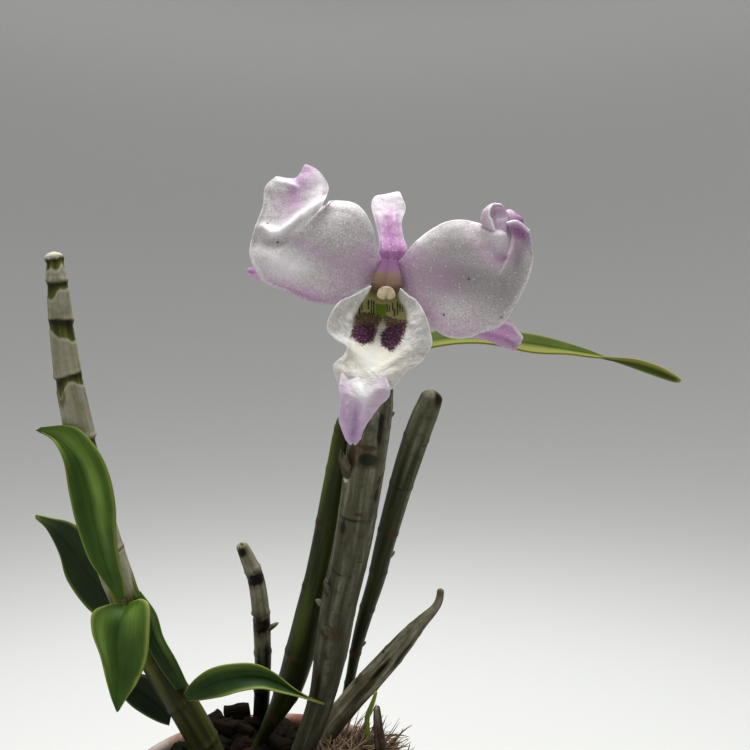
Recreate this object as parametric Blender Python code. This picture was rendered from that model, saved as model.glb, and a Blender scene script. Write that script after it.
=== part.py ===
# A potted dendrobium orchid: ringed canes standing in bark in a small terracotta pot,
# with strap leaves and one open flower.
# Metres, +Z up. The origin is the centre of the pot's underside, and the flower faces -Y.
# Every size below is in millimetres and is turned to metres when a mesh is made.

import math
import random
from bisect import bisect_left

import bmesh
import bpy
from mathutils import Matrix, Vector, noise

MM = 0.001

# Driving dimensions
POT_HEIGHT = 72.0
POT_RIM_RADIUS = 40.0
POT_BASE_RADIUS = 28.0
POT_WALL = 3.0
POT_FLOOR = 4.0
RIM_BAND = 14.0
RIM_STEP = 3.4
DRAIN_HOLES = 3
DRAIN_RADIUS = 3.5
DRAIN_CIRCLE = 14.0
POT_SEGMENTS = 36

CLEARANCE = 0.35
HOLE_SLACK = 0.6
ROOTING_DEPTH = 6.5

BARK_EDGE_HEIGHT = 69.5
BARK_CROWN = 3.5
BARK_ROUGHNESS = 1.1
BARK_SHOULDER = 1.2
BARK_SEGMENTS = 28
BARK_CHIPS = 20
CHIP_LENGTHS = (5.0, 9.0)
CHIP_WIDTHS = (3.0, 5.5)
CHIP_HEIGHTS = (2.0, 3.6)
STANDING_CHIP = (-12.6, 28.0, 74.3)
STANDING_CHIP_SIZE = (8.5, 3.2, 9.0)

FIBRE_FLOOR = 63.5
FIBRE_EDGE_HEIGHT = 69.5
FIBRE_HEAP = 9.0
FIBRE_HEAP_CENTRE = (23.0, 0.0)
FIBRE_INNER_RADIUS = 13.0
FIBRE_HALF_ANGLE = math.radians(58)
FIBRE_NEEDLES = 42
TUFT_SHARE = 0.6
TUFT_LENGTHS = (11.0, 19.0)
HEAP_NEEDLE_LENGTHS = (4.0, 7.0)
NEEDLE_RADII = (0.7, 1.1)
NEEDLE_MARGIN = 1.7

LEAF_THICKNESS = 0.7
PETAL_THICKNESS = 0.6
LIP_THICKNESS = 0.6
PETAL_RUFFLE = (0.5, 3.5)
LIP_RUFFLE = (0.45, 5.0)
RUFFLE_PHASE = 1.3

FLOWER_CENTRE = Vector((34.6, -37.6, 205.3))

# Each cane: its route from the bark up, (height, radius) pairs, the heights of its
# ring scars, and its buds as (height, compass angle in degrees, length, radius).
CANES = {
    "cane_leafy": {
        "route": [(-9.6, 1, 64.8), (-15.5, -1, 81.1), (-20.2, -3, 91.6), (-24.8, -4, 99.6),
                  (-30.5, -5, 111.3), (-36.3, -7, 125.4), (-40.6, -9, 140.5),
                  (-43.8, -11, 155.8), (-45.6, -13, 169.8), (-47.1, -15, 181.4),
                  (-48.5, -16, 194.2), (-49.4, -17, 206.8), (-50.1, -17, 213.9)],
        "girth": [(50, 3.6), (64, 4.3), (100, 4.1), (140, 4.0), (160, 3.8), (182, 3.3),
                  (196, 2.9), (207, 2.5), (214, 2.0)],
        "rings": (82, 94, 106, 118, 136, 152, 166.5, 181, 195, 206),
        "buds": [(195, 60, 1.2, 0.8), (181, 170, 1.0, 0.8)],
        "colour": "8a857a",
    },
    "cane_flowering": {
        "route": [(5.7, 3, 65.9), (11.3, 0, 79.2), (16.5, -3, 94.3), (19.5, -7, 109.4),
                  (22, -11, 123.9), (25.1, -15.5, 138), (27.4, -20, 151.5),
                  (29.2, -25, 164.5), (30.7, -28, 174.8), (31.9, -29.6, 182.4),
                  (32.6, -30.4, 186.4)],
        "girth": [(50, 2.8), (66, 3.0), (80, 3.1), (96, 3.5), (110, 4.4), (130, 4.7),
                  (150, 4.8), (168, 4.9), (176, 4.6), (182, 3.7), (187, 2.4)],
        "rings": (79, 93, 108, 121, 134, 148, 160, 171, 180),
        "buds": [(160, -160, 2.2, 1.3), (148, -70, 1.3, 0.9), (121, 175, 2.0, 1.2),
                 (171, 20, 1.6, 1.1)],
        "colour": "77736a",
    },
    "cane_green": {
        "route": [(-7.2, 11, 67.3), (-3.6, 13.6, 73.4), (0.5, 12.6, 80.9), (4.4, 10.4, 88.2),
                  (7.6, 8, 96.1), (11, 4.6, 108.1), (14, 1, 120.3), (17.3, -4, 135.3),
                  (20.2, -9, 149.7), (22.9, -14, 163.4), (24.4, -17, 172.6)],
        "girth": [(50, 1.6), (76, 1.7), (84, 2.8), (92, 4.0), (104, 4.4), (116, 4.2),
                  (128, 3.7), (150, 3.6), (166, 3.4), (173, 2.6)],
        "rings": (90, 104, 118, 138, 155, 168),
        "buds": [(118, 10, 1.6, 1.1)],
        "colour": "4f5a2a",
    },
    "cane_rear": {
        "route": [(16.8, 22, 66.7), (18.6, 24, 71.8), (21, 24, 78.9), (23.5, 23, 89.2),
                  (25.4, 21, 99.1), (28.5, 18, 111.6), (31.5, 15, 122), (33.6, 12, 131.6),
                  (37, 7, 145.6), (40, 2, 157.2), (43.1, -1.6, 167.4), (45.9, -4, 175),
                  (47, -5, 178.6)],
        "girth": [(50, 1.2), (78, 1.3), (94, 1.7), (110, 2.3), (126, 2.8), (140, 3.2),
                  (158, 3.6), (172, 3.5), (179, 2.7)],
        "rings": (88, 100, 113, 129, 144, 160, 171),
        "buds": [(129, 25, 1.7, 1.1), (100, 20, 1.2, 0.8)],
        "colour": "4a4f35",
    },
    "cane_short": {
        "route": [(-5, 25, 66.1), (-4.4, 25, 74.4), (-3.6, 24, 85.7), (-3.1, 23, 95.3),
                  (-3.1, 21, 105.2), (-3.6, 19, 114.9), (-4.7, 18, 122.1), (-6.8, 17, 127.8),
                  (-8.8, 16, 132.8)],
        "girth": [(50, 2.2), (74, 2.4), (96, 2.6), (112, 2.5), (122, 2.4), (128, 2.1),
                  (133, 1.6)],
        "rings": (86, 99, 107.5, 121, 127.5),
        "buds": [(104.8, -10, 3.6, 0.9)],
        "colour": "6b6759",
    },
    "cane_slanting": {
        "route": [(11.2, 10, 67), (16.6, 12, 77.6), (23.9, 13, 86.8), (29.7, 12, 93.6),
                  (35, 10, 100.2), (39.7, 8, 106.5), (44.4, 6, 112.6), (48, 5, 116.6),
                  (49.4, 5, 119.2), (49.8, 5, 122.4)],
        "girth": [(50, 2.6), (68, 2.8), (80, 3.2), (94, 3.3), (101, 3.1), (107, 2.6),
                  (113, 1.7), (117, 1.1), (122, 0.9)],
        "rings": (84, 93, 102, 110),
        "buds": [(88, 80, 2.4, 1.1)],
        "colour": "716c5f",
    },
    "cane_stub": {
        "route": [(32.7, 1.6, 66.5), (32.6, 1, 78.7), (32, 0, 86.9), (31.7, -1, 91.8)],
        "girth": [(50, 1.3), (80, 1.4), (88, 1.1), (92, 0.7)],
        "rings": (82,),
        "buds": [],
        "colour": "4a3d31",
    },
    "young_shoot": {
        "route": [(30.3, 8, 68), (29.8, 7.6, 74), (29.1, 7.4, 80), (29.0, 7.2, 85),
                  (30.5, 6.2, 89.4), (31.6, 5.4, 93.2)],
        "girth": [(50, 0.9), (80, 0.9), (89, 0.8), (94, 0.5)],
        "rings": (),
        "buds": [],
        "colour": "7d8a3a",
    },
}
CANE_SIDES = 9
THIN_CANE = 1.35
THIN_CANE_SIDES = 7
RING_HEIGHT = 1.1
RING_RIDGE = 0.35
RING_SPACING = 7.5
WAIST = 0.12

# Each leaf: rows of three points from its base to its tip, one on each edge and one on
# its midrib.
LEAVES = {
    "leaf_upper": [
        ((-36.1, -12.6, 125.2), (-35, -12.2, 124.3), (-33.5, -12.6, 125.2)),
        ((-37.7, -13.8, 130.2), (-36.2, -13.1, 129.2), (-33.5, -13.8, 129.7)),
        ((-40.2, -14.4, 134.9), (-37.6, -13.4, 134.3), (-34.2, -14.4, 133.4)),
        ((-43.4, -16.2, 144.2), (-39.8, -15.2, 143.3), (-34.5, -16.3, 140.4)),
        ((-45.6, -17.2, 152.8), (-41.4, -16.3, 151.9), (-34.5, -17.3, 149.5)),
        ((-47.5, -17.4, 160.7), (-43.8, -16.6, 159.7), (-35.9, -17.4, 157.3)),
        ((-49.8, -17.4, 165.5), (-46.8, -17, 164.6), (-39.2, -17.6, 164.2)),
        ((-53, -16.2, 167.7), (-50.6, -16.6, 167.1), (-45, -17.4, 169.7)),
        ((-55.6, -15, 168.4), (-55.1, -15.2, 168.7), (-54, -15.4, 169.4)),
    ],
    "leaf_rear": [
        ((-39.6, -4.6, 120.3), (-38.6, -4.2, 118.2), (-37.8, -4.6, 116.5)),
        ((-44.3, -2.5, 127.3), (-45.4, -1, 121.7), (-45.9, -2, 117.6)),
        ((-49.5, -0.5, 134.5), (-51.7, 1, 128.6), (-53.5, 0, 125.6)),
        ((-54.5, 1, 140.3), (-56.2, 2.5, 135.2), (-56.6, 1.5, 132.9)),
        ((-59.6, 2.6, 142.7), (-60.6, 3.5, 140.6), (-60.6, 3, 139.3)),
        ((-64.2, 4, 143.3), (-64.4, 4.2, 142.9), (-64.2, 4, 142.3)),
    ],
    "leaf_front": [
        ((-34.6, -12, 123.2), (-33.6, -11.8, 122.3), (-32.5, -12, 123.2)),
        ((-37.7, -15.5, 123.7), (-33.4, -14.6, 121.9), (-29, -15, 123.6)),
        ((-39.9, -18.5, 122.9), (-33.9, -17, 119.9), (-26.3, -17.7, 121.9)),
        ((-39.4, -20, 118.6), (-34, -18.2, 114.7), (-25.5, -19, 116.8)),
        ((-37.2, -20.4, 112.8), (-33.5, -18.8, 109.7), (-26.1, -19.5, 111.2)),
        ((-35.8, -20.2, 106.7), (-33.5, -19, 104.5), (-28.2, -19.8, 105.8)),
        ((-34.7, -19.7, 102), (-33.4, -19.1, 101), (-30.8, -19.6, 102)),
        ((-33.7, -19, 98.5), (-33.5, -18.9, 98.2), (-33, -19, 98.5)),
    ],
    "leaf_right": [
        ((-19.4, -8.4, 98.5), (-18.8, -8.6, 97.5), (-18.3, -8.4, 96.4)),
        ((-16.5, -9.5, 102.4), (-15.2, -9.2, 99.6), (-14, -10, 97.3)),
        ((-12, -10.5, 105.7), (-10.7, -9.5, 101.6), (-8.7, -11.5, 98.8)),
        ((-6.3, -10.5, 107), (-4.9, -9.5, 103.2), (-3.4, -12, 100.5)),
        ((-0.3, -10, 106.8), (0.8, -9, 103), (1.7, -11.5, 100.9)),
        ((4.8, -9, 104), (6, -8.4, 101.1), (6.3, -10.5, 99.5)),
        ((9.7, -8.3, 99.8), (10.5, -8, 98.3), (11.2, -9.2, 97.8)),
        ((14.2, -7.8, 96.9), (14.5, -7.7, 96.3), (14.8, -8.2, 96.2)),
        ((17.6, -7.4, 95.5), (17.9, -7.3, 95.2), (17.6, -7.4, 95)),
    ],
    "leaf_low": [
        ((-25.7, -3.7, 90.6), (-25.2, -3.1, 89.3), (-24.6, -3.6, 88.4)),
        ((-27.4, -4, 94.7), (-27.6, -3, 92.1), (-27.3, -4, 90.1)),
        ((-29.9, -5, 98.9), (-30.9, -3.7, 95.4), (-30.5, -5, 93)),
        ((-32.3, -6, 101), (-33.7, -5, 98.4), (-33.4, -6, 96.1)),
        ((-34.7, -7, 102.4), (-35.9, -6.5, 101.2), (-36, -7, 99.5)),
        ((-37.4, -7.5, 103.4), (-37.7, -7.5, 102.9), (-37.7, -7.5, 102.4)),
    ],
    "leaf_sheath": [
        ((-21.7, -7.6, 99), (-20, -7, 99.2), (-19.4, -5, 99.5)),
        ((-25.6, -8.9, 105.3), (-23.6, -8.4, 106.2), (-22.1, -6, 106.3)),
        ((-29, -9.9, 112.5), (-26.7, -9.7, 113), (-25.3, -7, 112.8)),
        ((-30.8, -10.7, 118.1), (-28.6, -10.2, 118.9), (-27.3, -7.5, 119.7)),
        ((-31.9, -10.7, 123), (-31.3, -10.2, 124.4), (-31, -8.5, 125.5)),
    ],
    "strap_leaf": [
        ((36, -28.4, 185), (36, -29.8, 184.3), (36, -31, 183.7)),
        ((39.9, -26.5, 190.2), (40, -29, 188.6), (40.1, -31.5, 187.4)),
        ((45.8, -24.5, 193.4), (45.8, -28, 191.1), (45.7, -32, 189.2)),
        ((55.6, -24, 193.9), (55.5, -28, 191.5), (55.5, -32, 190.2)),
        ((67, -23, 193.1), (67, -27, 190.4), (67.1, -31, 188.1)),
        ((76.3, -22, 191.1), (76.2, -25.5, 189), (76.1, -29, 187.6)),
        ((83.4, -21.5, 188.9), (83.7, -24, 187.8), (84.1, -26.5, 187)),
        ((88.7, -21.8, 186.7), (88.5, -23.5, 186.7), (88.5, -25, 186.9)),
        ((95.3, -21.5, 184.4), (95, -23, 185.4), (94.7, -24.5, 186.5)),
        ((101, -20.7, 182.5), (100.8, -22, 183.7), (100.8, -23.3, 184.9)),
        ((105.2, -20.7, 181.1), (105.2, -21.5, 182), (105.1, -22.3, 182.7)),
        ((106.9, -20.9, 181), (106.8, -21.2, 181.2), (106.9, -21.5, 181.5)),
    ],
}
LEAF_COLOURS = {
    "leaf_upper": "4d6a2a", "leaf_rear": "25351a", "leaf_front": "3b5420",
    "leaf_right": "2f4520", "leaf_low": "24331c", "leaf_sheath": "3a4f24",
    "strap_leaf": "5f6b30",
}

# The flower's sheets, in the same rows, measured from the flower's centre.
PETALS = {
    "petal_left": [
        ((-1.4, -1.8, 1.8), (-1.4, -2.1, 0.9), (-1.4, -1.8, 0.2)),
        ((-3, -2.9, 5.8), (-4.1, -3.9, 1.5), (-4.7, -3.4, -2.2)),
        ((-4.3, -3.9, 10.5), (-7.1, -6.1, 3.1), (-8.2, -4.9, -4.4)),
        ((-7.3, -4.9, 14.9), (-10.9, -7.9, 4.3), (-12.5, -6.4, -7)),
        ((-11.7, -5.9, 15.8), (-15.6, -9.1, 5), (-17.4, -7.9, -6.9)),
        ((-13.9, -8.4, 14.3), (-19.8, -9.9, 4.4), (-22.4, -8.9, -4.8)),
        ((-14.7, -9.4, 13), (-22.3, -10.4, 5.4), (-27.6, -8.9, -2.3)),
        ((-15.2, -5.9, 13.6), (-22.9, -8.4, 8.3), (-30.3, -7.9, 3)),
        ((-14.4, -3.9, 16), (-21.9, -5.9, 12.3), (-29.6, -5.9, 8.6)),
        ((-14.1, -2.9, 19.4), (-21, -4.2, 16.6), (-28.1, -4.2, 14.4)),
        ((-15.9, -2.4, 22.8), (-21.6, -3.2, 20.6), (-27.8, -2.9, 18.9)),
        ((-19.8, -1.4, 24.9), (-22.4, -1.9, 23.5), (-25.8, -1.4, 22.6)),
    ],
    "petal_right": [
        ((0.2, -1.8, 1.8), (0.2, -2.1, 0.9), (0.2, -1.8, 0.2)),
        ((2.6, -2.9, 3.2), (3.2, -3.6, -0.5), (3.5, -3.1, -3.8)),
        ((5.2, -3.9, 6.5), (6.4, -5.8, -1.2), (7.4, -4.4, -9.6)),
        ((8.2, -4.9, 9), (9.8, -7.4, -1.6), (11, -5.9, -13.7)),
        ((12.1, -5.9, 10.8), (13.8, -8.6, -1.6), (15.4, -7.4, -14.8)),
        ((15.9, -6.9, 11.2), (17.7, -9.4, -1.1), (19.6, -8.1, -13.6)),
        ((19.6, -7.9, 10.1), (21.5, -9.7, 0.2), (23.9, -8.4, -11.9)),
        ((22.1, -8.6, 8.7), (24.8, -9.2, 1.5), (27.2, -7.9, -6.7)),
        ((24, -8.6, 8.1), (27.1, -8.2, 3), (29.7, -6.9, -2.5)),
        ((23.8, -6.4, 9.8), (27.3, -5.9, 7.3), (30.9, -5.4, 3.6)),
        ((20.7, -3.9, 12.3), (26.8, -3.9, 10.7), (31.1, -3.4, 8.2)),
        ((22.6, -1.4, 15.3), (25.9, -1.4, 14.4), (29.6, -0.9, 13.1)),
    ],
}
SEPALS = {
    "dorsal_sepal": [
        ((0, -0.6, 1), (0.6, -0.8, 1), (1.6, -0.6, 1)),
        ((-1.3, -0.8, 3.1), (0.6, -1.2, 3), (2.6, -0.8, 3.1)),
        ((-2.2, -1.4, 5.6), (0.8, -2.4, 5.4), (3.7, -1.4, 5.4)),
        ((-2.3, -2.2, 8.2), (0.5, -3.8, 8.1), (3.2, -2.2, 8.2)),
        ((-3.6, -3.4, 11.8), (-0.1, -5, 11.9), (3.2, -3.4, 11.8)),
        ((-4.2, -4.1, 15.1), (-0.6, -5.4, 15.4), (3, -4.1, 15.3)),
        ((-3.6, -2.9, 17.4), (-0.1, -3.6, 18.2), (2.1, -2.9, 17.6)),
        ((-2.5, -0.6, 18.1), (-0.2, -0.6, 18.8), (1.6, -0.6, 17.9)),
        ((-1.4, 1.1, 17.4), (-0.2, 1.4, 17.7), (0.9, 1.1, 17.2)),
    ],
    "sepal_left": [
        ((-1.6, -0.6, -0.1), (-1.8, -0.8, -0.8), (-1.8, -0.6, -1.4)),
        ((-5, -0.8, 1.5), (-6.3, -1.2, -0.8), (-7.2, -0.6, -3.5)),
        ((-10.1, -1.4, 1.8), (-11.7, -2, -1.6), (-12.6, -1.4, -6.7)),
        ((-16.8, -2.4, 2.6), (-18.3, -3, -1.3), (-19, -2.4, -5.9)),
        ((-23.4, -3.1, 2.5), (-24.4, -3.6, -0.3), (-24.9, -3.1, -3.5)),
        ((-27.9, -4.1, 1.4), (-28.3, -4.4, 0.1), (-28.3, -4.1, -2.1)),
        ((-31.1, -4.6, 0.9), (-31.5, -4.9, 0.2), (-30.9, -4.6, -1.1)),
    ],
    "sepal_right": [
        ((0.9, -0.6, -0.3), (1.1, -0.8, -1), (1.3, -0.6, -1.7)),
        ((5.2, -0.6, -0.1), (4.7, -1.2, -2.6), (4.3, -0.6, -5)),
        ((10.5, -1.1, -2.2), (9.1, -1.8, -7), (8.3, -1.1, -11.2)),
        ((16.7, -1.8, -5.4), (15.1, -2.4, -9.9), (13.8, -1.8, -14.1)),
        ((22.7, -2.4, -8.1), (21.2, -3, -11.5), (20.2, -2.4, -14.6)),
        ((26.5, -3.1, -10.4), (26, -3.6, -13.1), (25.4, -3.1, -16.6)),
        ((29.4, -3.4, -14.2), (28.9, -3.7, -15.5), (27.6, -3.4, -17.3)),
    ],
}
LIP = [
    ((-2.7, -3.4, -3.1), (-1.8, -2.8, -4.2), (-0.7, -2.6, -4.8), (0.6, -2.8, -4.2),
     (1.7, -3.4, -3.3)),
    ((-5.4, -5.4, -3.6), (-5.8, -3.6, -6), (-1.2, -2.2, -7.7), (3, -3.6, -6),
     (3.2, -5.4, -3.8)),
    ((-8.4, -7.9, -5.4), (-7.3, -5.6, -8.4), (-1.4, -2.8, -10.8), (3.6, -5.6, -8.8),
     (4.8, -7.6, -5.8)),
    ((-11.3, -9.4, -7.2), (-8.4, -7.6, -11.2), (-1.9, -5.4, -14.1), (3.7, -7.6, -12),
     (6.9, -8.9, -8.9)),
    ((-13.2, -10.2, -10.3), (-9.1, -9.8, -14.3), (-2.5, -8.4, -17.2), (3.2, -9.6, -15.4),
     (8.1, -9.4, -12.4)),
    ((-13.8, -9.9, -13.2), (-9.7, -11.4, -16.3), (-3, -10.8, -19.6), (2.5, -10.8, -17.7),
     (8.7, -9, -15.3)),
    ((-10.8, -11.2, -15.6), (-8.4, -12.2, -17.8), (-3.6, -12.4, -21.1), (1.9, -11.6, -19),
     (8.1, -9.2, -17.5)),
    ((-11.2, -11.6, -18.6), (-8.6, -13.1, -20.1), (-4.2, -13.8, -22.8), (0.8, -12.4, -20.7),
     (6.4, -10, -19.8)),
    ((-12.1, -12.1, -20.9), (-8.8, -13.8, -22.6), (-4.8, -15, -24.7), (-0.7, -13.4, -22.8),
     (3.3, -11.2, -21.8)),
    ((-11.3, -12.6, -23.4), (-8.6, -14.6, -24.7), (-5.7, -15.8, -26.5),
     (-2.4, -14.2, -25.3), (1, -12.2, -24.9)),
    ((-10.7, -12.9, -25.9), (-8.6, -14.8, -26.9), (-6.1, -15.8, -28.5),
     (-3.4, -14.4, -27.6), (-0.5, -12.8, -27.2)),
    ((-10.3, -13.2, -28.8), (-8.6, -14.6, -29.6), (-6.5, -15.2, -31),
     (-4.8, -14.2, -30.3), (-3, -13, -29.7)),
    ((-10.5, -12.6, -32), (-9, -13.4, -32.8), (-7.1, -13.6, -33.6), (-5.9, -13.2, -33),
     (-5.1, -12.4, -32)),
    ((-9.7, -11.2, -35.5), (-9.1, -11.4, -36.1), (-8, -11.4, -36.9), (-7.2, -11.2, -36.3),
     (-6.4, -11, -35.5)),
]
PETAL_COLOUR = "d9cbd6"
SEPAL_COLOUR = "c9a3c9"
LIP_COLOUR = "e6dde0"

PEDICEL_ROUTE = [(33.1, -31.2, 187.1), (33.6, -29.6, 190.5), (34.4, -28.6, 195.5),
                 (34.9, -30.6, 200.6), (34.8, -34, 204.1), (34.6, -37.1, 205.2)]
PEDICEL_RADIUS = 0.9
RECEPTACLE_RADIUS = 2.1
COLUMN_ROUTE = [(-0.4, -4.0, 0.6), (-0.7, -5.8, -1.6), (-0.9, -7.6, -3.4)]
COLUMN_RADII = (2.0, 2.5, 2.1)
ANTHER_CENTRE = (-1.0, -8.6, -5.0)
ANTHER_RADII = (2.0, 1.3, 1.6)


def clear_scene():
    for item in list(bpy.data.objects):
        bpy.data.objects.remove(item, do_unlink=True)


def linear(channel):
    """Turns one sRGB channel into the linear value that a shader takes."""
    if channel <= 0.04045:
        return channel / 12.92
    return ((channel + 0.055) / 1.055) ** 2.4


def add_material(thing, colour, roughness):
    """Gives an object its own plain material from a six-figure sRGB colour."""
    finish = bpy.data.materials.new(thing.name)
    finish.use_nodes = True
    shader = finish.node_tree.nodes["Principled BSDF"]
    channels = [int(colour[i:i + 2], 16) / 255 for i in (0, 2, 4)]
    shader.inputs["Base Color"].default_value = (*[linear(c) for c in channels], 1)
    shader.inputs["Roughness"].default_value = roughness
    shader.inputs["Metallic"].default_value = 0.0
    thing.data.materials.clear()
    thing.data.materials.append(finish)


def add_object(name, bm):
    """Makes an object from a bmesh in millimetres, its faces pointing out."""
    bmesh.ops.recalc_face_normals(bm, faces=bm.faces)
    bmesh.ops.scale(bm, vec=(MM, MM, MM), verts=bm.verts)
    mesh = bpy.data.meshes.new(name)
    bm.to_mesh(mesh)
    bm.free()
    thing = bpy.data.objects.new(name, mesh)
    bpy.context.collection.objects.link(thing)
    return thing


def shade(thing, angle=40):
    thing.data.shade_smooth()
    thing.data.set_sharp_from_angle(angle=math.radians(angle))


def combine(body, tools, operation, solver="EXACT"):
    """Unites the tools with the body, or cuts them from it, and removes them."""
    group = bpy.data.collections.new(body.name + "_tools")
    for tool in tools:
        group.objects.link(tool)
    step = body.modifiers.new(operation, "BOOLEAN")
    step.operation = operation
    step.operand_type = "COLLECTION"
    step.collection = group
    step.solver = solver
    bpy.context.view_layer.update()
    graph = bpy.context.evaluated_depsgraph_get()
    result = bpy.data.meshes.new_from_object(body.evaluated_get(graph))
    body.modifiers.clear()
    body.data = result
    keep_main_body(result)
    for tool in tools:
        bpy.data.objects.remove(tool, do_unlink=True)
    bpy.data.collections.remove(group)


def keep_main_body(mesh):
    """Drops any loose scrap that a cut or a union leaves beside the largest body."""
    bm = bmesh.new()
    bm.from_mesh(mesh)
    groups = []
    unseen = set(bm.verts)
    while unseen:
        reached = {unseen.pop()}
        waiting = list(reached)
        while waiting:
            vert = waiting.pop()
            fresh = {edge.other_vert(vert) for edge in vert.link_edges} - reached
            reached |= fresh
            waiting.extend(fresh)
        unseen -= reached
        groups.append(reached)
    groups.sort(key=len, reverse=True)
    scraps = [vert for group in groups[1:] for vert in group]
    bmesh.ops.delete(bm, geom=scraps, context="VERTS")
    bm.to_mesh(mesh)
    bm.free()


def smooth(points, position):
    """The value at position, 0 to 1, on a smooth curve through the points."""
    spans = len(points) - 1
    place = min(max(position, 0.0), 1.0) * spans
    index = min(int(place), spans - 1)
    t = place - index
    here, there = points[index], points[index + 1]
    before = points[index - 1] if index > 0 else here * 2 - there
    after = points[index + 2] if index + 2 <= spans else there * 2 - here
    return (here * 2 + (there - before) * t
            + (before * 2 - here * 5 + there * 4 - after) * t * t
            + (here * 3 - before - there * 3 + after) * t ** 3) * 0.5


def between(pairs, place):
    """Reads a list of (place, value) pairs, with straight runs between them."""
    if place <= pairs[0][0]:
        return pairs[0][1]
    for (low, start), (high, end) in zip(pairs, pairs[1:]):
        if place <= high:
            return start + (end - start) * (place - low) / (high - low)
    return pairs[-1][1]


class Route:
    """A smooth curve through points, read by the distance along it."""

    STEPS = 240

    def __init__(self, points):
        vectors = [Vector(p) for p in points]
        self.samples = [smooth(vectors, i / self.STEPS) for i in range(self.STEPS + 1)]
        self.distances = [0.0]
        for a, b in zip(self.samples, self.samples[1:]):
            self.distances.append(self.distances[-1] + (b - a).length)
        self.length = self.distances[-1]

    def at(self, distance):
        index = min(max(bisect_left(self.distances, distance), 1), self.STEPS)
        low, high = self.distances[index - 1], self.distances[index]
        share = (distance - low) / (high - low)
        return self.samples[index - 1].lerp(self.samples[index], share)

    def ahead(self, distance, reach=0.6):
        start = self.at(max(distance - reach, 0.0))
        return (self.at(min(distance + reach, self.length)) - start).normalized()

    def distance_at_height(self, height):
        for index, sample in enumerate(self.samples):
            if sample.z >= height:
                return self.distances[index]
        return self.length


def rooted(points, depth):
    """The same route, carried straight on below its first point by the depth."""
    first, second = Vector(points[0]), Vector(points[1])
    slope = (first - second).normalized()
    return [tuple(first + slope * depth)] + list(points)


def tube(name, route, rings, sides):
    """A closed tube: each ring is a (distance along the route, radius) pair."""
    bm = bmesh.new()
    side = Vector((1, 0, 0))
    loops = []
    for distance, radius in rings:
        centre = route.at(distance)
        ahead = route.ahead(distance)
        side = (side - ahead * side.dot(ahead)).normalized()
        up = ahead.cross(side)
        turns = [math.tau * k / sides for k in range(sides)]
        loops.append([bm.verts.new(centre + (side * math.cos(a) + up * math.sin(a)) * radius)
                      for a in turns])
    for lower, upper in zip(loops, loops[1:]):
        for k in range(sides):
            j = (k + 1) % sides
            bm.faces.new((lower[k], lower[j], upper[j], upper[k]))
    bm.faces.new(loops[0])
    bm.faces.new(loops[-1])
    return add_object(name, bm)


def cane_rings(route, girth, ring_heights):
    """Rings for a cane: ridged at each scar, waisted between them, rounded at the tip."""
    def radius(distance):
        return between(girth, route.at(distance).z)

    scars = [route.distance_at_height(h) for h in ring_heights]
    stops = [0.0] + scars + [route.length - 1.5]
    rings = [(CLEARANCE, radius(CLEARANCE))]
    for start, end in zip(stops, stops[1:]):
        steps = math.ceil((end - start) / RING_SPACING)
        for step in range(1, steps):
            place = start + (end - start) * step / steps
            rings.append((place, radius(place) - WAIST))
        if end in scars:
            swell = radius(end) + RING_RIDGE
            rings.append((end - RING_HEIGHT, radius(end - RING_HEIGHT)))
            rings.append((end - RING_HEIGHT * 0.3, swell))
            rings.append((end + RING_HEIGHT * 0.3, swell))
            rings.append((end + RING_HEIGHT, radius(end + RING_HEIGHT) - WAIST))
    tip = radius(route.length)
    rings.append((route.length - 1.5, radius(route.length - 1.5)))
    rings.append((route.length - 0.5, tip * 0.8))
    rings.append((route.length, tip * 0.4))
    return rings


def bud(route, girth, height, compass, length, radius):
    """A small pointed bud that leans up and out from the cane at this height."""
    distance = route.distance_at_height(height)
    centre = route.at(distance)
    out = Matrix.Rotation(math.radians(compass), 3, "Z") @ Vector((1, 0, 0))
    lean = (out + route.ahead(distance) * 0.7).normalized()
    reach = between(girth, height)
    start = centre + out * reach * 0.45
    stem = Route([start, start + lean * (reach * 0.6 + length)])
    rings = [(0.0, radius), (stem.length * 0.6, radius * 0.85), (stem.length, radius * 0.25)]
    return tube("bud", stem, rings, 6)


def add_cane(name, spec):
    route = Route(rooted(spec["route"], ROOTING_DEPTH))
    sides = CANE_SIDES if spec["girth"][1][1] > THIN_CANE else THIN_CANE_SIDES
    thing = tube(name, route, cane_rings(route, spec["girth"], spec["rings"]), sides)
    buds = [bud(route, spec["girth"], *entry) for entry in spec["buds"]]
    if buds:
        combine(thing, buds, "UNION")
    shade(thing)
    add_material(thing, spec["colour"], 0.75)


def hole_cutter(spec):
    """The cane's foot, a little larger all round, which leaves a plain hole."""
    route = Route(rooted(spec["route"], ROOTING_DEPTH))
    top = route.distance_at_height(POT_HEIGHT + 18)
    count = 14
    rings = []
    for i in range(count + 1):
        distance = top * i / count
        rings.append((distance, between(spec["girth"], route.at(distance).z) + HOLE_SLACK))
    return tube("hole", route, rings, 12)


def turned(name, profile, segments):
    """A solid turned about Z from (radius, height) points, closed flat at both ends."""
    bm = bmesh.new()
    loops = []
    for radius, height in profile:
        turns = [math.tau * k / segments for k in range(segments)]
        loops.append([bm.verts.new((radius * math.cos(a), radius * math.sin(a), height))
                      for a in turns])
    for lower, upper in zip(loops, loops[1:]):
        for k in range(segments):
            j = (k + 1) % segments
            bm.faces.new((lower[k], lower[j], upper[j], upper[k]))
    bm.faces.new(loops[0])
    bm.faces.new(loops[-1])
    return add_object(name, bm)


def inner_radius(height):
    """The pot's inside radius at a height: it widens behind the rim's band."""
    band = POT_HEIGHT - RIM_BAND
    return between([(POT_FLOOR, POT_BASE_RADIUS - POT_WALL - 0.4),
                    (band - 0.5, POT_RIM_RADIUS - RIM_STEP - POT_WALL),
                    (band + 3, POT_RIM_RADIUS - POT_WALL - 0.6),
                    (POT_HEIGHT, POT_RIM_RADIUS - POT_WALL)], height)


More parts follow.
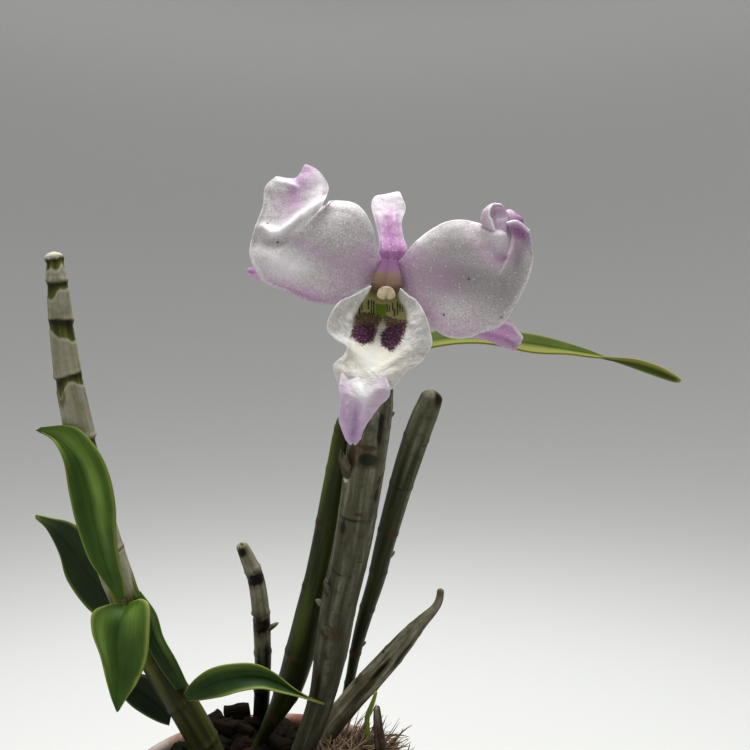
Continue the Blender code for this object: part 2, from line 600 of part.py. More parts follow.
def add_pot():
    """The clay pot: a tapering body, a deep rim band and three drain holes."""
    band = POT_HEIGHT - RIM_BAND
    profile = [
        (POT_BASE_RADIUS - 1, 0), (POT_BASE_RADIUS, 1),
        (POT_RIM_RADIUS - RIM_STEP, band), (POT_RIM_RADIUS - 1.2, band + 0.4),
        (POT_RIM_RADIUS - 0.6, band + 1.4),
        (POT_RIM_RADIUS, POT_HEIGHT - 1.4), (POT_RIM_RADIUS - 0.7, POT_HEIGHT - 0.2),
        (POT_RIM_RADIUS - 1.5, POT_HEIGHT), (POT_RIM_RADIUS - POT_WALL + 0.4, POT_HEIGHT - 0.4),
        (inner_radius(POT_HEIGHT - 2), POT_HEIGHT - 2),
        (inner_radius(band + 3), band + 3), (inner_radius(band - 0.5), band - 0.5),
        (inner_radius(POT_FLOOR), POT_FLOOR),
    ]
    pot = turned("pot", profile, POT_SEGMENTS)
    drains = []
    for k in range(DRAIN_HOLES):
        angle = math.tau * k / DRAIN_HOLES
        x, y = DRAIN_CIRCLE * math.cos(angle), DRAIN_CIRCLE * math.sin(angle)
        shaft = Route([(x, y, -2), (x, y, POT_FLOOR + 2)])
        drains.append(tube("drain", shaft, [(0, DRAIN_RADIUS), (shaft.length, DRAIN_RADIUS)], 14))
    combine(pot, drains, "DIFFERENCE")
    shade(pot, 35)
    add_material(pot, "7a4f3f", 0.9)


def bark_height(x, y):
    """The bark's uneven surface, crowned a little in the middle."""
    share = math.hypot(x, y) / inner_radius(BARK_EDGE_HEIGHT)
    lump = noise.noise(Vector((x, y, 3.0)) * 0.16) + 0.6 * noise.noise(Vector((x, y, 9.0)) * 0.4)
    return BARK_EDGE_HEIGHT + BARK_CROWN * (1 - share * share) + BARK_ROUGHNESS * lump


def bark_chip(draw, place, size, heading, lean):
    """One rough-cut flake of bark: heading turns it about Z, and lean is its largest tilt."""
    bm = bmesh.new()
    bmesh.ops.create_cube(bm, size=1.0)
    for vert in bm.verts:
        vert.co = Vector((c * draw.uniform(0.75, 1.2) for c in vert.co))
    turn = (Matrix.Rotation(heading, 4, "Z")
            @ Matrix.Rotation(draw.uniform(-lean, lean), 4, "X")
            @ Matrix.Rotation(draw.uniform(-lean, lean), 4, "Y"))
    bmesh.ops.transform(bm, matrix=Matrix.Translation(place) @ turn
                        @ Matrix.Diagonal((*size, 1)), verts=bm.verts)
    bmesh.ops.triangulate(bm, faces=bm.faces)
    return add_object("chip", bm)


def cane_feet():
    """Where each cane leaves the bark, and how thick it is there."""
    feet = []
    for spec in CANES.values():
        foot = Vector(spec["route"][0])
        feet.append((foot.x, foot.y, between(spec["girth"], foot.z)))
    return feet


def in_fibre_bed(x, y, margin=0.0):
    radius, angle = math.hypot(x, y), math.atan2(y, x)
    return (radius > FIBRE_INNER_RADIUS - margin
            and abs(angle) < FIBRE_HALF_ANGLE + margin / max(radius, 1))


def add_bark():
    """The dark bark that fills the pot, with flakes on top and a hole for each cane."""
    gap = CLEARANCE + 0.3
    band = POT_HEIGHT - RIM_BAND
    side = [(inner_radius(POT_FLOOR) - gap, POT_FLOOR + CLEARANCE),
            (inner_radius(band - 0.5) - gap, band - 0.6),
            (inner_radius(band + 3) - gap, band + 2.8)]
    edge = inner_radius(BARK_EDGE_HEIGHT) - gap
    top = [edge, edge - 1.6] + [edge * share for share in (0.84, 0.7, 0.55, 0.4, 0.25, 0.1)]
    segments = BARK_SEGMENTS
    bm = bmesh.new()
    turns = [math.tau * k / segments for k in range(segments)]
    loops = [[bm.verts.new((r * math.cos(a), r * math.sin(a), z)) for a in turns]
             for r, z in side]
    for r in top:
        loops.append([])
        for a in turns:
            x, y = r * math.cos(a), r * math.sin(a)
            drop = BARK_SHOULDER if r == edge else 0.0
            loops[-1].append(bm.verts.new((x, y, bark_height(x, y) - drop)))
    for lower, upper in zip(loops, loops[1:]):
        for k in range(segments):
            j = (k + 1) % segments
            bm.faces.new((lower[k], lower[j], upper[k]))
            bm.faces.new((lower[j], upper[j], upper[k]))
    bm.faces.new(loops[0])
    bm.faces.new(loops[-1])
    bark = add_object("bark", bm)

    draw = random.Random(11)
    feet = cane_feet()
    chips = [bark_chip(draw, STANDING_CHIP, STANDING_CHIP_SIZE, 0.15, 0.1)]
    while len(chips) < BARK_CHIPS:
        radius, angle = 34 * math.sqrt(draw.random()), draw.uniform(0, math.tau)
        x, y = radius * math.cos(angle), radius * math.sin(angle)
        size = [draw.uniform(*span) for span in (CHIP_LENGTHS, CHIP_WIDTHS, CHIP_HEIGHTS)]
        reach = max(size[:2]) / 2 + 1
        crowded = any(math.hypot(x - fx, y - fy) < reach + fr for fx, fy, fr in feet)
        if crowded or in_fibre_bed(x, y, reach) or radius + reach > edge - 0.5:
            continue
        place = (x, y, bark_height(x, y) + 0.5)
        chips.append(bark_chip(draw, place, size, draw.uniform(0, math.tau), 0.45))
    combine(bark, chips, "UNION")

    combine(bark, [fibre_bed_cutter()], "DIFFERENCE")
    combine(bark, [hole_cutter(spec) for spec in CANES.values()], "DIFFERENCE")
    shade(bark, 30)
    add_material(bark, "241d16", 0.95)


def sector(name, inner, outer, half_angle, bottom, top_height, steps, rows):
    """A thick fan-shaped slab with a flat floor and a shaped top."""
    bm = bmesh.new()
    grids = []
    for level in (None, top_height):
        grid = []
        for i in range(rows + 1):
            r = inner + (outer - inner) * i / rows
            angles = [half_angle * (2 * j / steps - 1) for j in range(steps + 1)]
            places = [(r * math.cos(a), r * math.sin(a)) for a in angles]
            grid.append([bm.verts.new((x, y, level(x, y) if level else bottom))
                         for x, y in places])
        grids.append(grid)
    floor, top = grids
    for i in range(rows):
        for j in range(steps):
            for grid in grids:
                bm.faces.new((grid[i][j], grid[i + 1][j], grid[i + 1][j + 1]))
                bm.faces.new((grid[i][j], grid[i + 1][j + 1], grid[i][j + 1]))
    for j in range(steps):
        for i in (0, rows):
            bm.faces.new((floor[i][j], floor[i][j + 1], top[i][j + 1], top[i][j]))
    for i in range(rows):
        for j in (0, steps):
            bm.faces.new((floor[i][j], floor[i + 1][j], top[i + 1][j], top[i][j]))
    return add_object(name, bm)


def fibre_bed_cutter():
    """The room that the bark leaves for the fibre."""
    angle = FIBRE_HALF_ANGLE + CLEARANCE / FIBRE_INNER_RADIUS
    return sector("fibre_bed", FIBRE_INNER_RADIUS - CLEARANCE, POT_RIM_RADIUS + 4, angle,
                  FIBRE_FLOOR - CLEARANCE, lambda x, y: POT_HEIGHT + 20, 8, 1)


def fibre_height(x, y):
    """The fibre's heap, highest beside the flowering cane."""
    away = math.hypot((x - FIBRE_HEAP_CENTRE[0]) / 11, (y - FIBRE_HEAP_CENTRE[1]) / 15)
    lump = noise.noise(Vector((x, y, 5.0)) * 0.45)
    return FIBRE_EDGE_HEIGHT + FIBRE_HEAP * math.exp(-away * away) + 0.9 * lump


def near_a_cane(start, end, margin):
    """Whether a straight fibre would come within the margin of a cane."""
    for spec in CANES.values():
        for low, high in zip(spec["route"], spec["route"][1:]):
            if low[2] > POT_HEIGHT + 30:
                break
            for i in range(9):
                place = Vector(low).lerp(Vector(high), i / 8)
                girth = between(spec["girth"], place.z)
                for j in range(9):
                    if (start.lerp(end, j / 8) - place).length < girth + margin:
                        return True
    return False


def needle(start, end, radius):
    """One stiff fibre, three-sided and pointed."""
    ahead = (end - start).normalized()
    side = ahead.orthogonal().normalized()
    bm = bmesh.new()
    foot = [bm.verts.new(start + Matrix.Rotation(math.tau * k / 3, 3, ahead) @ side * radius)
            for k in range(3)]
    tip = bm.verts.new(end)
    bm.faces.new(foot)
    for k in range(3):
        bm.faces.new((foot[k], foot[(k + 1) % 3], tip))
    return add_object("fibre", bm)


def add_fibre():
    """The heap of brown fibre on the right, its ends standing out over the rim."""
    outer = inner_radius(FIBRE_FLOOR) - CLEARANCE
    heap = sector("fibre", FIBRE_INNER_RADIUS, outer, FIBRE_HALF_ANGLE, FIBRE_FLOOR,
                  fibre_height, 11, 5)
    combine(heap, [hole_cutter(spec) for spec in CANES.values()], "DIFFERENCE")

    draw = random.Random(5)
    fibres = []
    while len(fibres) < FIBRE_NEEDLES:
        edge_tuft = len(fibres) < FIBRE_NEEDLES * TUFT_SHARE
        angle = draw.gauss(0.12, 0.3) if edge_tuft else draw.uniform(-0.9, 0.85)
        radius = draw.uniform(24, 31.5) if edge_tuft else draw.uniform(15.5, 31)
        x, y = radius * math.cos(angle), radius * math.sin(angle)
        start = Vector((x, y, fibre_height(x, y) - 1.3))
        outward = Vector((math.cos(angle + draw.uniform(-0.3, 0.3)),
                          math.sin(angle + draw.uniform(-0.3, 0.3)), 0))
        run = inner_radius(POT_HEIGHT) - radius
        rise = max(POT_HEIGHT + 2.2 - start.z, 1.0)
        slope = rise / run * draw.uniform(1.0, 1.5) if edge_tuft else draw.uniform(0.8, 3)
        length = draw.uniform(*(TUFT_LENGTHS if edge_tuft else HEAP_NEEDLE_LENGTHS))
        end = start + (outward + Vector((0, 0, slope))).normalized() * length
        if not in_fibre_bed(x, y, -2.5) or near_a_cane(start, end, NEEDLE_MARGIN):
            continue
        fibres.append(needle(start, end, draw.uniform(*NEEDLE_RADII)))
    combine(heap, fibres, "UNION")
    shade(heap, 30)
    add_material(heap, "6b5437", 0.95)


def sheet(name, stations, thickness, rows, columns, ruffle=(0.0, 0.0), centre=Vector()):
    """A thin sheet through rows of points, its edges waved by (height, waves)."""
    bm = bmesh.new()
    tracks = [[Vector(row[k]) + centre for row in stations] for k in range(len(stations[0]))]
    grid = []
    for i in range(rows + 1):
        along = i / rows
        controls = [smooth(track, along) for track in tracks]
        facing = (controls[-1] - controls[0]).cross(
            smooth(tracks[1], min(along + 0.04, 1)) - smooth(tracks[1], max(along - 0.04, 0)))
        facing.normalize()
        line = []
        for j in range(columns + 1):
            across = 2 * j / columns - 1
            wave = math.sin(math.tau * ruffle[1] * along + (RUFFLE_PHASE if across > 0 else 0))
            lift = ruffle[0] * abs(across) ** 3 * wave * math.sin(math.pi * along)
            line.append(bm.verts.new(smooth(controls, j / columns) + facing * lift))
        grid.append(line)
    for i in range(rows):
        for j in range(columns):
            bm.faces.new((grid[i][j], grid[i + 1][j], grid[i + 1][j + 1]))
            bm.faces.new((grid[i][j], grid[i + 1][j + 1], grid[i][j + 1]))
    thing = add_object(name, bm)
    shell = thing.modifiers.new("thickness", "SOLIDIFY")
    shell.thickness = thickness * MM
    shell.offset = 0.0
    shade(thing, 60)
    return thing


def add_leaves():
    for name, stations in LEAVES.items():
        rows = 2 * (len(stations) - 1)
        leaf = sheet(name, stations, LEAF_THICKNESS, rows, 4)
        add_material(leaf, LEAF_COLOURS[name], 0.45)


def add_flower_sheets():
    for name, stations in PETALS.items():
        petal = sheet(name, stations, PETAL_THICKNESS, 18, 6, PETAL_RUFFLE, FLOWER_CENTRE)
        add_material(petal, PETAL_COLOUR, 0.6)
    for name, stations in SEPALS.items():
        sepal = sheet(name, stations, PETAL_THICKNESS, 12, 4, centre=FLOWER_CENTRE)
        add_material(sepal, SEPAL_COLOUR, 0.6)
    lip = sheet("lip", LIP, LIP_THICKNESS, 20, 8, LIP_RUFFLE, FLOWER_CENTRE)
    add_material(lip, LIP_COLOUR, 0.6)


def add_pedicel():
    """The flower's stalk, widening to the seat that the petals grow from."""
    route = Route(PEDICEL_ROUTE)
    rings = [(route.length * share, PEDICEL_RADIUS) for share in (0, 0.15, 0.3, 0.45, 0.6, 0.7)]
    rings += [(route.length * 0.82, PEDICEL_RADIUS * 1.4),
              (route.length * 0.94, RECEPTACLE_RADIUS), (route.length, RECEPTACLE_RADIUS)]
    stalk = tube("pedicel", route, rings, 10)
    shade(stalk)
    add_material(stalk, "8d8a5a", 0.5)


def add_column():
    """The short column in the flower's throat and the anther cap on its end."""
    route = Route([Vector(p) + FLOWER_CENTRE for p in COLUMN_ROUTE])
    low, middle, high = COLUMN_RADII
    rings = [(0, low), (route.length * 0.5, middle), (route.length * 0.85, high),
             (route.length, high * 0.7)]
    column = tube("column", route, rings, 12)
    shade(column)
    add_material(column, "7d6a58", 0.5)

    bm = bmesh.new()
    bmesh.ops.create_uvsphere(bm, u_segments=10, v_segments=6, radius=1.0)
    bmesh.ops.scale(bm, vec=ANTHER_RADII, verts=bm.verts)
    bmesh.ops.translate(bm, vec=Vector(ANTHER_CENTRE) + FLOWER_CENTRE, verts=bm.verts)
    cap = add_object("anther_cap", bm)
    shade(cap, 60)
    add_material(cap, "c8b79c", 0.45)


def main():
    clear_scene()
    add_pot()
    add_bark()
    add_fibre()
    for name, spec in CANES.items():
        add_cane(name, spec)
    add_leaves()
    add_pedicel()
    add_flower_sheets()
    add_column()


main()
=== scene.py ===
# A small dendrobium orchid in a clay pot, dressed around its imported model.
# Lengths in the dictionaries are millimetres, and meshes are made in metres. Angles are degrees,
# except in the bark's and the fibre's dictionaries, where they are radians.

import math
import random

import bmesh
import bpy
import numpy as np
from mathutils import Matrix, Vector, noise


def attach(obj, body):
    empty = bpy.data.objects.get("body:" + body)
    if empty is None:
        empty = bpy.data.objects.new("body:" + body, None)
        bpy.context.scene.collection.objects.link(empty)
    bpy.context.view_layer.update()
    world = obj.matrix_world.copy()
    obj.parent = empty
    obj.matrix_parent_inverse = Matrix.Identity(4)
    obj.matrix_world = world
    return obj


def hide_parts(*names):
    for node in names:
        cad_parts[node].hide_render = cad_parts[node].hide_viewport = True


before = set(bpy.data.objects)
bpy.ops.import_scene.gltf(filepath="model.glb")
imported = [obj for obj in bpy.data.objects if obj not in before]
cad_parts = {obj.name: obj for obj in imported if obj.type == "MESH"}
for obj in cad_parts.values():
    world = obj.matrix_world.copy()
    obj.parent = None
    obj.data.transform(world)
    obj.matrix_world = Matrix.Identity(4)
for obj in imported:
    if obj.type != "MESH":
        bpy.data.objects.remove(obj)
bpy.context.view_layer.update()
mm = 0.001
print("frame loaded:", len(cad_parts), "nodes")


# Colours, nodes and materials

def hexColour(code):
    # sRGB hex to the linear values that shaders take
    channels = [int(code[i:i + 2], 16) / 255 for i in (0, 2, 4)]
    linear = [c / 12.92 if c <= 0.04045 else ((c + 0.055) / 1.055) ** 2.4 for c in channels]
    return (*linear, 1.0)


def perMm(size):
    # texture scale for a feature this many millimetres wide
    return 1 / (size * mm)


def addNode(tree, kind, inputs=None, out=0, **settings):
    # one node with its settings and links, which gives back one of its outputs; an input takes a
    # plain value or another node's output
    node = tree.nodes.new("ShaderNode" + kind)
    for name, value in settings.items():
        setattr(node, name, value)
    for key, value in (inputs or {}).items():
        if isinstance(value, bpy.types.NodeSocket):
            tree.links.new(value, node.inputs[key])
        else:
            node.inputs[key].default_value = value
    return node.outputs[out]


def newMaterial(name, roughness, ior=1.45, shine=0.5):
    material = bpy.data.materials.new(name)
    material.use_nodes = True
    tree = material.node_tree
    shader = tree.nodes["Principled BSDF"]
    shader.inputs["Roughness"].default_value = roughness
    shader.inputs["IOR"].default_value = ior
    shader.inputs["Specular IOR Level"].default_value = shine
    return material, tree, shader


def painted(tree, colour, coats):
    # coats of paint in order: (where, colour). Where is a mask, or a pattern with the value at
    # which the coat sets in, the value at which it is full and the most that it covers
    for where, coat in coats:
        if isinstance(where, tuple):
            pattern, bare, full, most = where
            where = addNode(tree, "MapRange", {0: pattern, 1: bare, 2: full, 4: most})
        colour = addNode(tree, "Mix", {0: where, 6: colour, 7: hexColour(coat)}, 2, data_type="RGBA")
    return colour


def wear(tree, shader, colour, height, strength, depth, normal=None):
    # puts colour and relief on a shader; depth is the relief in mm
    tree.links.new(colour, shader.inputs["Base Color"])
    sockets = {"Height": height, "Strength": strength, "Distance": depth * mm}
    if normal:
        sockets["Normal"] = normal
    tree.links.new(addNode(tree, "Bump", sockets), shader.inputs["Normal"])


def letLightThrough(tree, shader, colour, share):
    # thin tissue: this share of the light goes through it and glows on the far side
    glow = addNode(tree, "BsdfTranslucent", {"Color": colour})
    both = addNode(tree, "MixShader", {0: share, 1: shader.outputs[0], 2: glow})
    tree.links.new(both, tree.nodes["Material Output"].inputs["Surface"])


# Curves, grids and meshes

def readSpline(points, places):
    # a smooth curve through the points, read at places from 0 to 1
    points = np.asarray(points, float)
    spans = len(points) - 1
    place = np.clip(places, 0, 1) * spans
    index = np.minimum(place.astype(int), spans - 1)
    t = (place - index).reshape(-1, *[1] * (points.ndim - 1))
    ends = [2 * points[:1] - points[1:2], points, 2 * points[-1:] - points[-2:-1]]
    padded = np.concatenate(ends)
    a, b, c, d = (padded[index + k] for k in range(4))
    return 0.5 * (2 * b + (c - a) * t + (2 * a - 5 * b + 4 * c - d) * t ** 2
                  + (3 * b - a - 3 * c + d) * t ** 3)


def evenLine(points, step, foot=0.0):
    # points every step mm along a route; foot carries it straight on below its first point
    points = np.array(points, float)
    if foot:
        slope = points[0] - points[1]
        points = np.vstack([points[0] + slope / np.linalg.norm(slope) * foot, points])
    fine = readSpline(points, np.linspace(0, 1, 900))
    runs = np.linalg.norm(np.diff(fine, axis=0), axis=1)
    travelled = np.concatenate([[0], np.cumsum(runs)])
    stops = np.linspace(0, travelled[-1], max(int(travelled[-1] / step), 4) + 1)
    return np.stack([np.interp(stops, travelled, fine[:, k]) for k in range(3)], axis=1), stops


def ringFrames(line):
    # two directions square to the line at each of its points
    ahead = np.gradient(line, axis=0)
    ahead /= np.linalg.norm(ahead, axis=1, keepdims=True)
    side = np.array([1.0, 0.0, 0.0])
    sides = []
    for direction in ahead:
        side = side - direction * side.dot(direction)
        side /= np.linalg.norm(side)
        sides.append(side)
    return np.array(sides), np.cross(ahead, np.array(sides))


def roundGrid(line, radius, angles):
    # rings of points round a line; radius is one number a ring, or one a point
    side, up = ringFrames(line)
    radius = np.asarray(radius, float)
    if radius.ndim == 1:
        radius = radius[:, None] * np.ones(len(angles))
    spoke = (side[:, None, :] * np.cos(angles)[None, :, None]
             + up[:, None, :] * np.sin(angles)[None, :, None])
    return line[:, None, :] + spoke * radius[:, :, None]


def fullTurn(sides):
    return np.linspace(0, math.tau, sides, endpoint=False)


def outward(angles):
    # directions away from the upright axis
    return np.stack([np.cos(angles), np.sin(angles), 0 * angles], axis=-1)


def turned(profile, sides):
    # a profile of (radius, height) turned round the upright axis
    return np.array([[(r * math.cos(a), r * math.sin(a), h) for a in fullTurn(sides)]
                     for r, h in profile])


def sheetGrid(stations, rows, columns):
    # points on a smooth sheet through rows of points
    lengthways = readSpline(stations, np.linspace(0, 1, rows + 1))
    return readSpline(lengthways.transpose(1, 0, 2),
                      np.linspace(0, 1, columns + 1)).transpose(1, 0, 2)


def gridNormals(grid):
    # which way a grid of points faces, as lengths of one
    normals = np.cross(np.gradient(grid, axis=1), np.gradient(grid, axis=0))
    return normals / np.maximum(np.linalg.norm(normals, axis=2, keepdims=True), 1e-9)


def noiseAt(points, size, seed=0.0):
    # smooth noise, about -1 to 1, with features this many millimetres wide
    flat = (np.asarray(points, float).reshape(-1, 3) / size + seed).tolist()
    return np.array([noise.noise(p) for p in flat]).reshape(points.shape[:-1])


def ramp(value, low, high):
    # 0 at low, 1 at high, with a soft start and end
    t = np.clip((value - low) / (high - low), 0, 1)
    return t * t * (3 - 2 * t)


def ovals(x, z, entries):
    # soft ovals (x, z, reach along, reach across, turn, strength); yields each one's cover
    for centreX, centreZ, reachX, reachZ, turn, strength in entries:
        c, s = math.cos(math.radians(turn)), math.sin(math.radians(turn))
        u = ((x - centreX) * c + (z - centreZ) * s) / reachX
        w = ((z - centreZ) * c - (x - centreX) * s) / reachZ
        yield strength * np.exp(-(u * u + w * w))


def washed(x, z, entries):
    # how far overlapping ovals cover each point, from 0 to 1
    bare = np.ones_like(x)
    for cover in ovals(x, z, entries):
        bare *= 1 - cover
    return 1 - bare


def meshFrom(name, places, faces, values):
    # a smooth mesh from points in mm, with its masks and its grain
    mesh = bpy.data.meshes.new(name)
    mesh.from_pydata((places * mm).tolist(), [], faces)
    for key, value in values.items():
        kind, field = ("FLOAT_VECTOR", "vector") if key == "grain" else ("FLOAT", "value")
        layer = mesh.attributes.new(key, kind, "POINT")
        layer.data.foreach_set(field, value.astype(np.float32).reshape(-1))
    mesh.shade_smooth()
    mesh.update()
    return mesh


def meshOf(name, patches):
    # one mesh from grids of points in mm: (points, values, closes round)
    places, faces, values, start = [], [], {}, 0
    for grid, data, closes in patches:
        rows, columns = grid.shape[:2]
        index = start + np.arange(rows * columns).reshape(rows, columns)
        ahead = np.roll(index, -1, axis=1) if closes else index[:, 1:]
        here = index if closes else index[:, :-1]
        quads = np.stack([here[:-1], ahead[:-1], ahead[1:], here[1:]], axis=-1)
        faces += quads.reshape(-1, 4).tolist()
        if closes:
            faces += [index[0][::-1].tolist(), index[-1].tolist()]
        places.append(grid.reshape(-1, 3))
        for key, value in data.items():
            values.setdefault(key, []).append(np.broadcast_to(
                value, grid.shape if key == "grain" else grid.shape[:2]).reshape(-1))
        start += rows * columns
    return meshFrom(name, np.concatenate(places), faces,
                    {key: np.concatenate(value) for key, value in values.items()})


def addObject(name, data):
    item = bpy.data.objects.new(name, data)
    bpy.context.scene.collection.objects.link(item)
    return item


def addPiece(name, mesh, material, nodes, thickness=0.0):
    # puts a finished mesh in the scene, where it stands for its CAD nodes
    piece = addObject(name, mesh)
    mesh.materials.append(material)
    if thickness:
        shell = piece.modifiers.new("thickness", "SOLIDIFY")
        shell.thickness = thickness * mm
        shell.offset = 0.0
    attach(piece, "root")
    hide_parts(*nodes)
    return piece


# Stage: seamless paper, soft overhead light and the camera

stageLook = {
    "floorRings": [2, 90, 180, 260, 330, 390], "floorReach": 430, "bend": 700,
    "wallRings": [800, 900, 1500], "bendSteps": 48, "sides": 96, "aim": (10, 0, 130),
    "tint": "fefffc", "soften": 60,
    "paintedShadeGreys": [(0, 0.59), (300, 0.545), (376, 0.515), (487, 0.47), (590, 0.385), (700, 0.322),
              (840, 0.285), (1000, 0.268), (1280, 0.268), (1463, 0.31), (1700, 0.47)],
    "overhead": {"place": (50, 90, 1150), "size": 700, "power": 21},
    "front": {"place": (-480, -850, 700), "size": 800, "power": 3.3},
    "sky": "c9cbcc", "skyStrength": 0.13,
}


def backdropPaper():
    # matt background paper, pale on the floor and grey up the wall, without any gloss; the grey is
    # painted shade, darker where less of the overhead light would reach
    material, tree, shader = newMaterial("seamlessPaper", 0.95, shine=0.1)
    grey = addNode(tree, "Attribute", out="Fac", attribute_name="grey")
    tinted = addNode(tree, "Mix", {0: 1.0, 6: grey, 7: hexColour(stageLook["tint"])}, 2,
                     data_type="RGBA", blend_type="MULTIPLY")
    tree.links.new(tinted, shader.inputs["Base Color"])
    return material


def addSoftbox(name, look):
    light = bpy.data.lights.new(name, "AREA")
    light.energy = look["power"]
    light.size = look["size"] * mm
    lamp = addObject(name, light)
    lamp.location = Vector(look["place"]) * mm
    aim = Vector(stageLook["aim"]) * mm - lamp.location
    lamp.rotation_euler = aim.to_track_quat("-Z", "Y").to_euler()


def buildStage():
    look = stageLook
    bends = np.linspace(0, math.pi / 2, look["bendSteps"])
    reach = look["floorRings"] + list(look["floorReach"] + look["bend"] * np.sin(bends))
    height = [0.0] * len(look["floorRings"]) + list(look["bend"] * (1 - np.cos(bends)))
    reach += [reach[-1]] * len(look["wallRings"])
    height += look["wallRings"]
    points = turned(zip(reach, height), look["sides"])
    path = reach[0] + np.concatenate([[0], np.cumsum(np.hypot(np.diff(reach), np.diff(height)))])
    # painted shade: the paper's grey along the sweep, pale on the floor and dark up the wall, softened
    grey = sum(np.interp(path + away * look["soften"], *zip(*look["paintedShadeGreys"]))
               for away in (-1, -0.5, 0, 0.5, 1)) / 5
    mesh = meshOf("paperSweep", [(points, {"grey": grey[:, None]}, True)])
    trimmed = bmesh.new()  # takes off the one big face that closes the sweep at its top
    trimmed.from_mesh(mesh)
    lid = [face for face in trimmed.faces if face.calc_center_median().z > 1.0 and len(face.verts) > 4]
    bmesh.ops.delete(trimmed, geom=lid, context="FACES_ONLY")
    trimmed.to_mesh(mesh)
    sweep = addObject("paperSweep", mesh)
    mesh.materials.append(backdropPaper())
    addSoftbox("overheadSoftbox", look["overhead"])
    addSoftbox("frontSoftbox", look["front"])
    world = bpy.data.worlds.new("room")
    bpy.context.scene.world = world
    world.use_nodes = True
    world.node_tree.nodes["Background"].inputs["Color"].default_value = hexColour(look["sky"])
    world.node_tree.nodes["Background"].inputs["Strength"].default_value = look["skyStrength"]


cameraLook = {"place": (31.2, -207, 182.7), "lens": 36, "sensor": 36}


def buildCamera():
    data = bpy.data.cameras.new("camera")
    data.lens, data.sensor_width = cameraLook["lens"], cameraLook["sensor"]
    data.clip_start = 0.01
    camera = addObject("camera", data)
    camera.location = Vector(cameraLook["place"]) * mm
    camera.rotation_euler = (math.radians(90), 0, 0)
    bpy.context.scene.camera = camera
    bpy.context.scene.view_settings.view_transform = "Standard"


buildStage()
buildCamera()
print("stage, lights and camera")


# Pot. Its profiles are pairs: how far inside the base or the rim, and how far above the ground,
# above the band's lower edge or below the top.

pot = {
    "height": 72, "rim": 40, "base": 28, "wall": 3, "floor": 4, "band": 58, "step": 3.4,
    "footProfile": ((1.2, 0), (0.3, 0.3), (0, 1.2)),
    "bandProfile": ((3.4, -0.3), (1.9, 0.1), (1, 0.5), (0.6, 1.5), (0.45, 4), (0.2, 8)),
    "rimProfile": ((0, 2.4), (0.1, 1.3), (0.6, 0.4), (1.5, 0), (2.4, 0.4), (2.9, 1.4)),
    "insideHeights": (69.5, 66, 61.5, 59.5, 57.5, 45, 30, 15, 5.5),
    "drains": 3, "drainRadius": 3.5, "drainCircle": 14, "drainSides": 48, "segments": 180,
    "clay": "80503c", "dark": "4e2c20", "bloom": "9c948e", "insideDark": "3a241b",
    "grit": 0.5, "throwMarks": 1.6, "markDepth": 0.05, "wobble": 0.16, "lumps": 0.06,
    "patch": 14, "fleck": 1.7, "bloomHeights": (45, 72), "insideDarkHeights": (74, 66),
}


def firedClay():
    # low-fired terracotta, thrown and unglazed: matt and gritty, with a chalky salt bloom
    # that gathers on the rim, and the clay darker inside, below the rim
    material, tree, shader = newMaterial("terracotta", 0.88)
    where = addNode(tree, "TexCoord", out="Object")
    height = addNode(tree, "SeparateXYZ", {0: where}, "Z")
    patches = addNode(tree, "TexNoise", {"Vector": where, "Scale": perMm(pot["patch"]),
                                         "Detail": 5.0, "Roughness": 0.65})
    grit = addNode(tree, "TexNoise", {"Vector": where, "Scale": perMm(pot["grit"]), "Detail": 3.0})
    flecks = addNode(tree, "TexVoronoi", {"Vector": where, "Scale": perMm(pot["fleck"])}, "Distance")
    low, high = pot["bloomHeights"]
    rising = addNode(tree, "MapRange", {0: height, 1: low * mm, 2: high * mm})
    chalky = addNode(tree, "MapRange", {0: patches, 1: 0.44, 2: 0.62, 4: 0.85})
    bloom = addNode(tree, "Math", {0: rising, 1: chalky}, operation="MULTIPLY")
    insideDark = addNode(tree, "Attribute", out="Fac", attribute_name="insideDark")
    colour = painted(tree, hexColour(pot["clay"]),
                     [((patches, 0.5, 0.3, 0.55), pot["dark"]), ((flecks, 0.16, 0.08, 0.5), pot["dark"]),
                      (bloom, pot["bloom"]), (insideDark, pot["insideDark"])])
    wear(tree, shader, colour, grit, 0.5, 0.15)
    return material


def insideRadius(height):
    # of the pot, which steps out behind its band
    base, rim, wall = pot["base"], pot["rim"], pot["wall"]
    return float(np.interp(
        height, [pot["floor"], pot["band"] - 0.5, pot["band"] + 3, pot["height"]],
        [base - wall - 0.4, rim - pot["step"] - wall, rim - wall - 0.6, rim - wall]))


def potOutline():
    # (radius, height) up the outside, over the rim and down inside; and where the inside starts
    base, rim, band, top = pot["base"], pot["rim"], pot["band"], pot["height"]
    outline = [(base - inset, up) for inset, up in pot["footProfile"]]
    outline += [(base + (rim - pot["step"] - base) * share, 1 + (band - 1) * share)
                for share in np.linspace(0.08, 0.98, 16)]
    outline += [(rim - inset, band + up) for inset, up in pot["bandProfile"]]
    outline += [(rim - inset, top - down) for inset, down in pot["rimProfile"]]
    outside = len(outline)
    outline += [(insideRadius(height), height) for height in pot["insideHeights"]]
    outline.append((base - pot["wall"] - 1.5, pot["floor"]))
    return outline, outside


